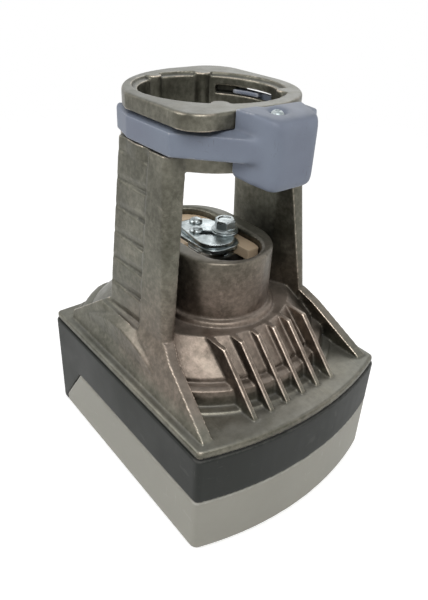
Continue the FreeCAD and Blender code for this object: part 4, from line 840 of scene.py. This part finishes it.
class Softener:
    """Turns a sharp node of the frame into a piece with rounded edges."""

    weld: float = 1e-6
    factor: float = 0.5
    reach: int = 2
    gain: float = 4.5
    tiny: float = 1e-9

    def __init__(self, node: str, title: str, softness: Softness) -> None:
        """Keeps how the piece is made.

        Args:
            node: the node that the piece stands for.
            title: the piece's name.
            softness: voxels, smoothing and share of faces.
        """
        self.node = node
        self.title = title
        self.softness = softness

    def build(self) -> bpy.types.Object:
        """Makes the piece and its masks.

        Returns:
            The piece.
        """
        piece = bpy.data.objects.new(self.title, self.welded())
        bpy.context.scene.collection.objects.link(piece)
        voxels = piece.modifiers.new("voxels", "REMESH")
        voxels.mode = "VOXEL"
        voxels.voxel_size = self.softness.voxel_mm * MM
        self.bake(piece)
        if self.softness.blunting:
            self.blunt(piece, self.softness.blunting)
        self.smooth(piece, self.softness.rounds)
        piece.modifiers.new("thin", "DECIMATE").ratio = self.softness.keep
        self.bake(piece)
        piece.vertex_groups.clear()
        piece.data.name = self.title
        piece.data.shade_smooth()
        self.mark(piece.data)
        return piece

    def welded(self) -> bpy.types.Mesh:
        """Copies the node's mesh and joins the points that lie on each other.

        Returns:
            The copy.
        """
        mesh = frame["nodes"][self.node].data.copy()
        work = bmesh.new()
        work.from_mesh(mesh)
        bmesh.ops.remove_doubles(work, verts=work.verts, dist=self.weld)
        work.to_mesh(mesh)
        work.free()
        return mesh

    @staticmethod
    def bake(piece: bpy.types.Object) -> None:
        """Turns the piece's modifiers into its mesh.

        Args:
            piece: the piece.
        """
        graph = bpy.context.evaluated_depsgraph_get()
        baked = bpy.data.meshes.new_from_object(piece.evaluated_get(graph))
        piece.modifiers.clear()
        piece.data = baked

    def smooth(self, piece: bpy.types.Object, rounds: int, group: str = "") -> None:
        """Adds rounds of smoothing.

        Args:
            piece: the piece.
            rounds: how often each point moves towards its neighbours.
            group: vertex group that limits the smoothing, if any.
        """
        smooth = piece.modifiers.new("soften", "SMOOTH")
        smooth.factor = self.factor
        smooth.iterations = rounds
        smooth.vertex_group = group

    def blunt(self, piece: bpy.types.Object, plan: Blunting) -> None:
        """Rounds the piece much further in front of a line.

        Args:
            piece: the piece.
            plan: the line, and how much rounder the piece becomes.
        """
        (left, left_y), (right, right_y) = plan.left, plan.right
        group = piece.vertex_groups.new(name="blunt")
        for vert in piece.data.vertices:
            along = min(max((vert.co.x / MM - left) / (right - left), 0.0), 1.0)
            share = (left_y + along * (right_y - left_y) - vert.co.y / MM) / plan.depth
            if share > 0.0:
                group.add([vert.index], min(share, 1.0), "REPLACE")
        self.smooth(piece, plan.rounds, group.name)

    def bends(self, mesh: bpy.types.Mesh) -> np.ndarray:
        """Measures how far the surface bends at each point.

        Args:
            mesh: the softened mesh.

        Returns:
            One number to a point, under 0 at an edge and over 0 in a hollow.
        """
        count = len(mesh.vertices)
        places = np.zeros(count * 3)
        normals = np.zeros(count * 3)
        pairs = np.zeros(len(mesh.edges) * 2, dtype=np.int64)
        mesh.vertices.foreach_get("co", places)
        mesh.vertices.foreach_get("normal", normals)
        mesh.edges.foreach_get("vertices", pairs)
        places, normals, pairs = places.reshape(-1, 3), normals.reshape(-1, 3), pairs.reshape(-1, 2)
        first, second = pairs[:, 0], pairs[:, 1]
        step = places[second] - places[first]
        step /= np.maximum(np.linalg.norm(step, axis=1), self.tiny)[:, None]
        bend = np.zeros(count)
        np.add.at(bend, first, (normals[first] * step).sum(1))
        np.add.at(bend, second, -(normals[second] * step).sum(1))
        degree = np.maximum(np.bincount(pairs.ravel(), minlength=count), 1)
        bend /= degree
        for _ in range(self.reach):
            total = np.zeros(count)
            np.add.at(total, first, bend[second])
            np.add.at(total, second, bend[first])
            bend = 0.5 * bend + 0.5 * total / degree
        return bend

    def mark(self, mesh: bpy.types.Mesh) -> None:
        """Writes the masks of worn edges and sheltered hollows.

        Args:
            mesh: the softened mesh.
        """
        bend = self.bends(mesh) * self.gain
        for mask, value in ((Mask.EDGE, -bend), (Mask.HOLLOW, bend)):
            layer = mesh.attributes.new(mask.value, "FLOAT", "POINT")
            layer.data.foreach_set("value", np.clip(value, 0.0, 1.0).astype(np.float32))


class Lathe:
    """Rings of points round an upright axis, for heads and domes."""

    edge_mm: float = 0.12
    edge_segments: int = 2
    edge_angle: float = 28.0

    def __init__(self, centre: Point, steps: int = 72) -> None:
        """Starts an empty stack of rings.

        Args:
            centre: foot of the axis, in millimetres.
            steps: points of each ring.
        """
        self.centre = Vector([value * MM for value in centre])
        self.steps = steps
        self.mesh = bmesh.new()
        self.last: list[bmesh.types.BMVert] = []

    def ring(self, height: float, radius: float | Rule) -> None:
        """Adds a ring and joins it to the last one.

        Args:
            height: millimetres over the foot of the axis.
            radius: millimetres, or a rule that gives them for an angle.
        """
        verts = []
        for index in range(self.steps):
            angle = math.tau * index / self.steps
            reach = radius(angle) if callable(radius) else radius
            offset = Vector((reach * math.cos(angle), reach * math.sin(angle), height)) * MM
            verts.append(self.mesh.verts.new(self.centre + offset))
        if self.last:
            for index in range(self.steps):
                after = (index + 1) % self.steps
                self.mesh.faces.new((self.last[index], self.last[after], verts[after], verts[index]))
        else:
            self.mesh.faces.new(list(reversed(verts)))
        self.last = verts

    def rings(self, profile: Iterable[tuple[float, float | Rule]]) -> None:
        """Adds a ring for each height and radius of a profile."""
        for height, radius in profile:
            self.ring(height, radius)

    def shaft(self, length: float, radius: float) -> None:
        """Adds a shaft that ends at the foot of the axis."""
        self.rings(((-length, radius), (0.0, radius)))

    def finish(self, name: str) -> bpy.types.Object:
        """Closes the top and gives the piece, with its sharp edges broken.

        Args:
            name: the piece's name.

        Returns:
            The piece.
        """
        self.mesh.faces.new(self.last)
        bmesh.ops.recalc_face_normals(self.mesh, faces=self.mesh.faces)
        data = bpy.data.meshes.new(name)
        self.mesh.to_mesh(data)
        self.mesh.free()
        data.shade_smooth()
        piece = bpy.data.objects.new(name, data)
        bpy.context.scene.collection.objects.link(piece)
        bevel = piece.modifiers.new("edges", "BEVEL")
        bevel.width = self.edge_mm * MM
        bevel.segments = self.edge_segments
        bevel.limit_method = "ANGLE"
        bevel.angle_limit = math.radians(self.edge_angle)
        piece.modifiers.new("even_normals", "WEIGHTED_NORMAL")
        return piece


def hexagon_radius(across_flats: float) -> Rule:
    """Gives the rule of a hexagon's radius for an angle.

    Args:
        across_flats: width of the hexagon, in millimetres.

    Returns:
        The rule, from radians to millimetres.
    """

    def rule(angle: float) -> float:
        """Radius at an angle."""
        turned = (angle % (math.pi / 3.0)) - math.pi / 6.0
        return 0.5 * across_flats / math.cos(turned)

    return rule


# Sub-assemblies. Sizes and places are in millimetres, and a shank is its length and its radius.


@dataclass
class SubAssembly:
    """A group of pieces that is built and dressed together."""

    finishes: Finishes

    def softened(self, node: str, title: str, body: Body, slot: str, softness: Softness) -> bpy.types.Object:
        """Replaces a node by its softened piece.

        Args:
            node: the frame's node.
            title: the piece's name.
            body: the body that it rides on.
            slot: the record's material slot.
            softness: how far its edges are rounded.

        Returns:
            The piece.
        """
        piece = Softener(node, title, softness).build()
        return self.settle(piece, body, slot, node)

    def settle(self, piece: bpy.types.Object, body: Body, slot: str, *nodes: str) -> bpy.types.Object:
        """Lets a piece ride, stand for nodes and take its finish.

        Args:
            piece: the piece.
            body: the body that it rides on.
            slot: the record's material slot.
            nodes: nodes that it stands for.

        Returns:
            The piece.
        """
        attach(piece, body.value)
        if nodes:
            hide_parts(*nodes)
        self.finishes.dress(piece, slot)
        LOG.info("%s: %d faces, rides on %s", piece.name, len(piece.data.polygons), body.value)
        return piece


@dataclass
class Yoke(SubAssembly):
    """Die-cast yoke: plate, cone with fins, tower, legs and neck ring."""

    softness: Softness = Softness(0.65, 5, 0.3)

    def build(self) -> None:
        """Builds the casting with softened edges."""
        self.softened("yoke_casting", "cast_yoke", Body.HOUSING, "cast_aluminium", self.softness)


@dataclass
class ClampBow(SubAssembly):
    """Bow round the neck ring, with its screw."""

    softness: Softness = Softness(0.7, 5, 0.4, Blunting(100, (-18.0, -61.0), (-2.0, -34.0), 6.0))
    screw: Point = (-6.5, -60.5, 238.8)
    shank: Pair = (24.0, 2.45)
    head_r: float = 3.8
    insets: tuple[Pair, ...] = ((0.0, 0.2), (0.5, 0.0), (1.4, 0.5), (2.1, 1.3), (2.5, 2.0))
    socket: float = 3.0
    socket_floor: float = 0.9

    def build(self) -> None:
        """Builds the bow, and the screw with its rounded head and hexagon socket."""
        self.softened("clamp_bow", "clamp_bow_coated", Body.BOW, "bow_coat", self.softness)
        head = Lathe(self.screw)
        head.shaft(*self.shank)
        head.rings((height, self.head_r - inset) for height, inset in self.insets)
        top = self.insets[-1][0]
        wall = hexagon_radius(self.socket)
        head.rings(((top, wall), (self.socket_floor, wall)))
        self.settle(head.finish("clamp_screw_domed"), Body.BOW_SCREW, "zinc_steel", "clamp_screw")


@dataclass
class Shells(SubAssembly):
    """Charcoal frame and light grey cover of the housing."""

    softness: Softness = Softness(0.9, 2, 0.3)

    def build(self) -> None:
        """Builds both shells with softened edges."""
        self.softened("housing_frame", "frame_shell", Body.HOUSING, "charcoal_plastic", self.softness)
        self.softened("cover", "cover_shell", Body.HOUSING, "grey_plastic", self.softness)


@dataclass
class StemCoupling(SubAssembly):
    """Plates, bolt, washer, rivets and guide in the mouth of the tower."""

    softness: Softness = Softness(0.4, 2, 0.35)
    bolt: Point = (12.0, -6.0, 153.4)
    bolt_shank: Pair = (18.0, 2.9)
    flange: tuple[Pair, ...] = ((0.0, 8.25), (0.25, 8.4), (0.9, 8.4), (1.5, 7.4))
    across_flats: float = 12.0
    crown: tuple[Pair, ...] = ((1.8, 1.5), (6.5, 1.5), (7.05, 1.09), (7.4, 1.0), (7.4, 0.8), (6.6, 0.68))
    rivets: tuple[Pair, ...] = ((-3.0, 4.5), (5.5, 16.0))
    rivet_foot: float = 152.0
    rivet_shank: Pair = (5.9, 1.95)
    rivet_r: float = 4.5
    rivet_steps: int = 40
    dome: tuple[Pair, ...] = ((0.0, 0.97), (0.4, 1.0), (1.2, 0.96), (2.2, 0.8), (2.9, 0.5), (3.2, 0.15))

    def build(self) -> None:
        """Builds the coupling from its plates up."""
        for node in ("carrier_plate", "clamp_plate", "coupling_washer", "retaining_clip"):
            self.softened(node, node + "_plated", Body.STEM, "zinc_steel", self.softness)
        self.softened("stem_guide", "stem_guide_moulded", Body.STEM, "guide_plastic", self.softness)
        self.build_bolt()
        self.build_rivets()

    def build_bolt(self) -> None:
        """Builds the flanged bolt, its hexagon capped by rounds so that its corners are chamfered."""
        head = Lathe(self.bolt)
        head.shaft(*self.bolt_shank)
        head.rings(self.flange)
        hexagon = hexagon_radius(self.across_flats)
        for height, share in self.crown:
            cap = 0.5 * self.across_flats * share
            head.ring(height, lambda angle, cap=cap: min(hexagon(angle), cap))
        self.settle(head.finish("coupling_bolt_plated"), Body.STEM_BOLT, "zinc_steel", "coupling_bolt")

    def build_rivets(self) -> None:
        """Builds the domed rivet heads with their shanks, as one piece."""
        domes = []
        for x, y in self.rivets:
            dome = Lathe((x, y, self.rivet_foot), self.rivet_steps)
            dome.shaft(*self.rivet_shank)
            dome.rings((height, self.rivet_r * share) for height, share in self.dome)
            domes.append(dome.finish("coupling_rivets_domed"))
        first, second = domes
        joined = bmesh.new()
        joined.from_mesh(first.data)
        joined.from_mesh(second.data)
        joined.to_mesh(first.data)
        joined.free()
        bpy.data.objects.remove(second)
        self.settle(first, Body.STEM, "zinc_steel", "coupling_rivets")


@dataclass
class CarriedNodes(SubAssembly):
    """Nodes of the frame that keep their shape and get their finish."""

    def build(self) -> None:
        """Dresses every node that no piece stands for."""
        slots = {row["node"]: row["material_slot"] for row in frame["record"]["subparts"]}
        for name, node in frame["nodes"].items():
            if not node.hide_render:
                self.finishes.dress(node, slots[name])
                LOG.info("%s: kept, finish %s", name, slots[name])


# Stage and camera, in metres and watts


@dataclass(frozen=True)
class Lamp:
    """A soft square lamp."""

    name: str
    place: Point
    size: float
    power: float

    def build(self, target: Point) -> None:
        """Hangs the lamp.

        Args:
            target: the point that it faces.
        """
        data = bpy.data.lights.new(self.name, "AREA")
        data.shape = "SQUARE"
        data.size = self.size
        data.energy = self.power
        lamp = bpy.data.objects.new(self.name, data)
        bpy.context.scene.collection.objects.link(lamp)
        lamp.location = self.place
        lamp.rotation_euler = (Vector(target) - Vector(self.place)).to_track_quat("-Z", "Y").to_euler()


@dataclass
class Studio:
    """Floor, lamps and world."""

    floor_r: float = 1.2
    floor_steps: int = 64
    floor_z: float = -0.0002
    fade: Pair = (0.42, 1.0)
    floor_colour: Colour = (0.88, 0.88, 0.875)
    floor_rough: float = 0.9
    floor_specular: float = 0.1
    glow: float = 0.35
    world_level: float = 0.38
    target: Point = (0.0, 0.0, 0.12)
    lamps: tuple[Lamp, ...] = (
        Lamp("key", (-0.45, -0.75, 1.25), 0.7, 11.4),
        Lamp("side", (-1.00, 0.55, 0.85), 0.7, 5.6),
        Lamp("fill", (0.90, -0.90, 0.50), 0.8, 1.6),
        Lamp("back", (0.80, 0.55, 1.00), 0.8, 3.0),
    )

    def build(self) -> None:
        """Builds the stage."""
        self.build_floor()
        self.build_world()
        for lamp in self.lamps:
            lamp.build(self.target)

    @staticmethod
    def seen(sheet: Sheet) -> Socket:
        """Tells the rays that see the background from those that light the object.

        Args:
            sheet: nodes of the floor or the world.

        Returns:
            1 for rays of the camera, of gloss and through glass.
        """
        path = sheet.add("ShaderNodeLightPath").outputs
        direct = sheet.maths("MAXIMUM", path["Is Camera Ray"], path["Is Transmission Ray"])
        return sheet.maths("MAXIMUM", direct, path["Is Glossy Ray"])

    def build_floor(self) -> None:
        """Lays a round floor that keeps the shadow and fades into the white world."""
        data = bpy.data.meshes.new("floor")
        angles = [math.tau * step / self.floor_steps for step in range(self.floor_steps)]
        rim = [(self.floor_r * math.cos(angle), self.floor_r * math.sin(angle), 0.0) for angle in angles]
        data.from_pydata(rim, [], [tuple(range(self.floor_steps))])
        floor = bpy.data.objects.new("floor", data)
        bpy.context.scene.collection.objects.link(floor)
        floor.location.z = self.floor_z
        sheet = MaterialSheet("floor")
        away = sheet.add("ShaderNodeVectorMath", operation="LENGTH")
        sheet.feed(away.inputs[0], sheet.place())
        cover = sheet.spread(away.outputs["Value"], *self.fade, 1.0, 0.0)
        glow = sheet.times(self.seen(sheet), self.glow)
        sheet.surface(Base_Color=self.floor_colour, Roughness=self.floor_rough, Alpha=cover,
                      Specular_IOR_Level=self.floor_specular, Emission_Color=WHITE, Emission_Strength=glow)
        data.materials.append(sheet.material)
        floor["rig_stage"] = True

    def build_world(self) -> None:
        """Makes an even pale world that shows white behind the object and in its gloss."""
        world = bpy.data.worlds.new("studio")
        bpy.context.scene.world = world
        world.use_nodes = True
        sheet = Sheet(world.node_tree)
        sheet.tree.nodes.clear()
        light = sheet.add("ShaderNodeBackground")
        sheet.feed(light.inputs["Color"], WHITE)
        sheet.feed(light.inputs["Strength"], sheet.between(self.seen(sheet), self.world_level, 1.0))
        output = sheet.add("ShaderNodeOutputWorld")
        sheet.tree.links.new(light.outputs[0], output.inputs["Surface"])


@dataclass
class PhotoCamera:
    """Camera at the photograph's place, seen from above the front left, with angles in degrees."""

    place: Point = (-0.20272, -0.25239, 0.30292)
    heading: float = 40.29
    pitch: float = 31.91
    roll: float = -3.01
    lens: float = 33.21
    sensor: float = 36.0
    clip: Pair = (0.01, 60.0)

    def build(self) -> None:
        """Makes the camera the scene's own."""
        heading, pitch, roll = (math.radians(angle) for angle in (self.heading, self.pitch, self.roll))
        ahead = Vector((math.sin(heading) * math.cos(pitch), math.cos(heading) * math.cos(pitch),
                        -math.sin(pitch)))
        level = Vector((math.cos(heading), -math.sin(heading), 0.0))
        down = ahead.cross(level)
        right = math.cos(roll) * level + math.sin(roll) * down
        below = -math.sin(roll) * level + math.cos(roll) * down
        data = bpy.data.cameras.new("photo_camera")
        data.lens = self.lens
        data.sensor_width = self.sensor
        data.clip_start, data.clip_end = self.clip
        camera = bpy.data.objects.new("photo_camera", data)
        bpy.context.scene.collection.objects.link(camera)
        turn = Matrix((right, -below, -ahead)).transposed()
        camera.matrix_world = Matrix.Translation(Vector(self.place)) @ turn.to_4x4()
        bpy.context.scene.camera = camera


class SizeNote:
    """Keeps the box of the frame."""

    def __init__(self) -> None:
        """Takes the frame's box before anything is added."""
        self.frame_box = self.plain()

    @staticmethod
    def plain() -> list[list[float]]:
        """Gives the present box as plain lists."""
        return [list(corner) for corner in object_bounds()]

    def write(self) -> None:
        """Writes nothing."""


def main() -> None:
    """Builds the camera, the actuator's pieces and the studio in order."""
    logging.basicConfig(level=logging.INFO, format="%(name)s: %(message)s")
    sizes = SizeNote()
    PhotoCamera().build()
    finishes = Finishes()
    for kind in (Yoke, ClampBow, Shells, StemCoupling, CarriedNodes):
        kind(finishes).build()
    Studio().build()
    bpy.context.scene.view_settings.view_transform = "Standard"
    sizes.write()


if __name__ == "__main__":
    main()
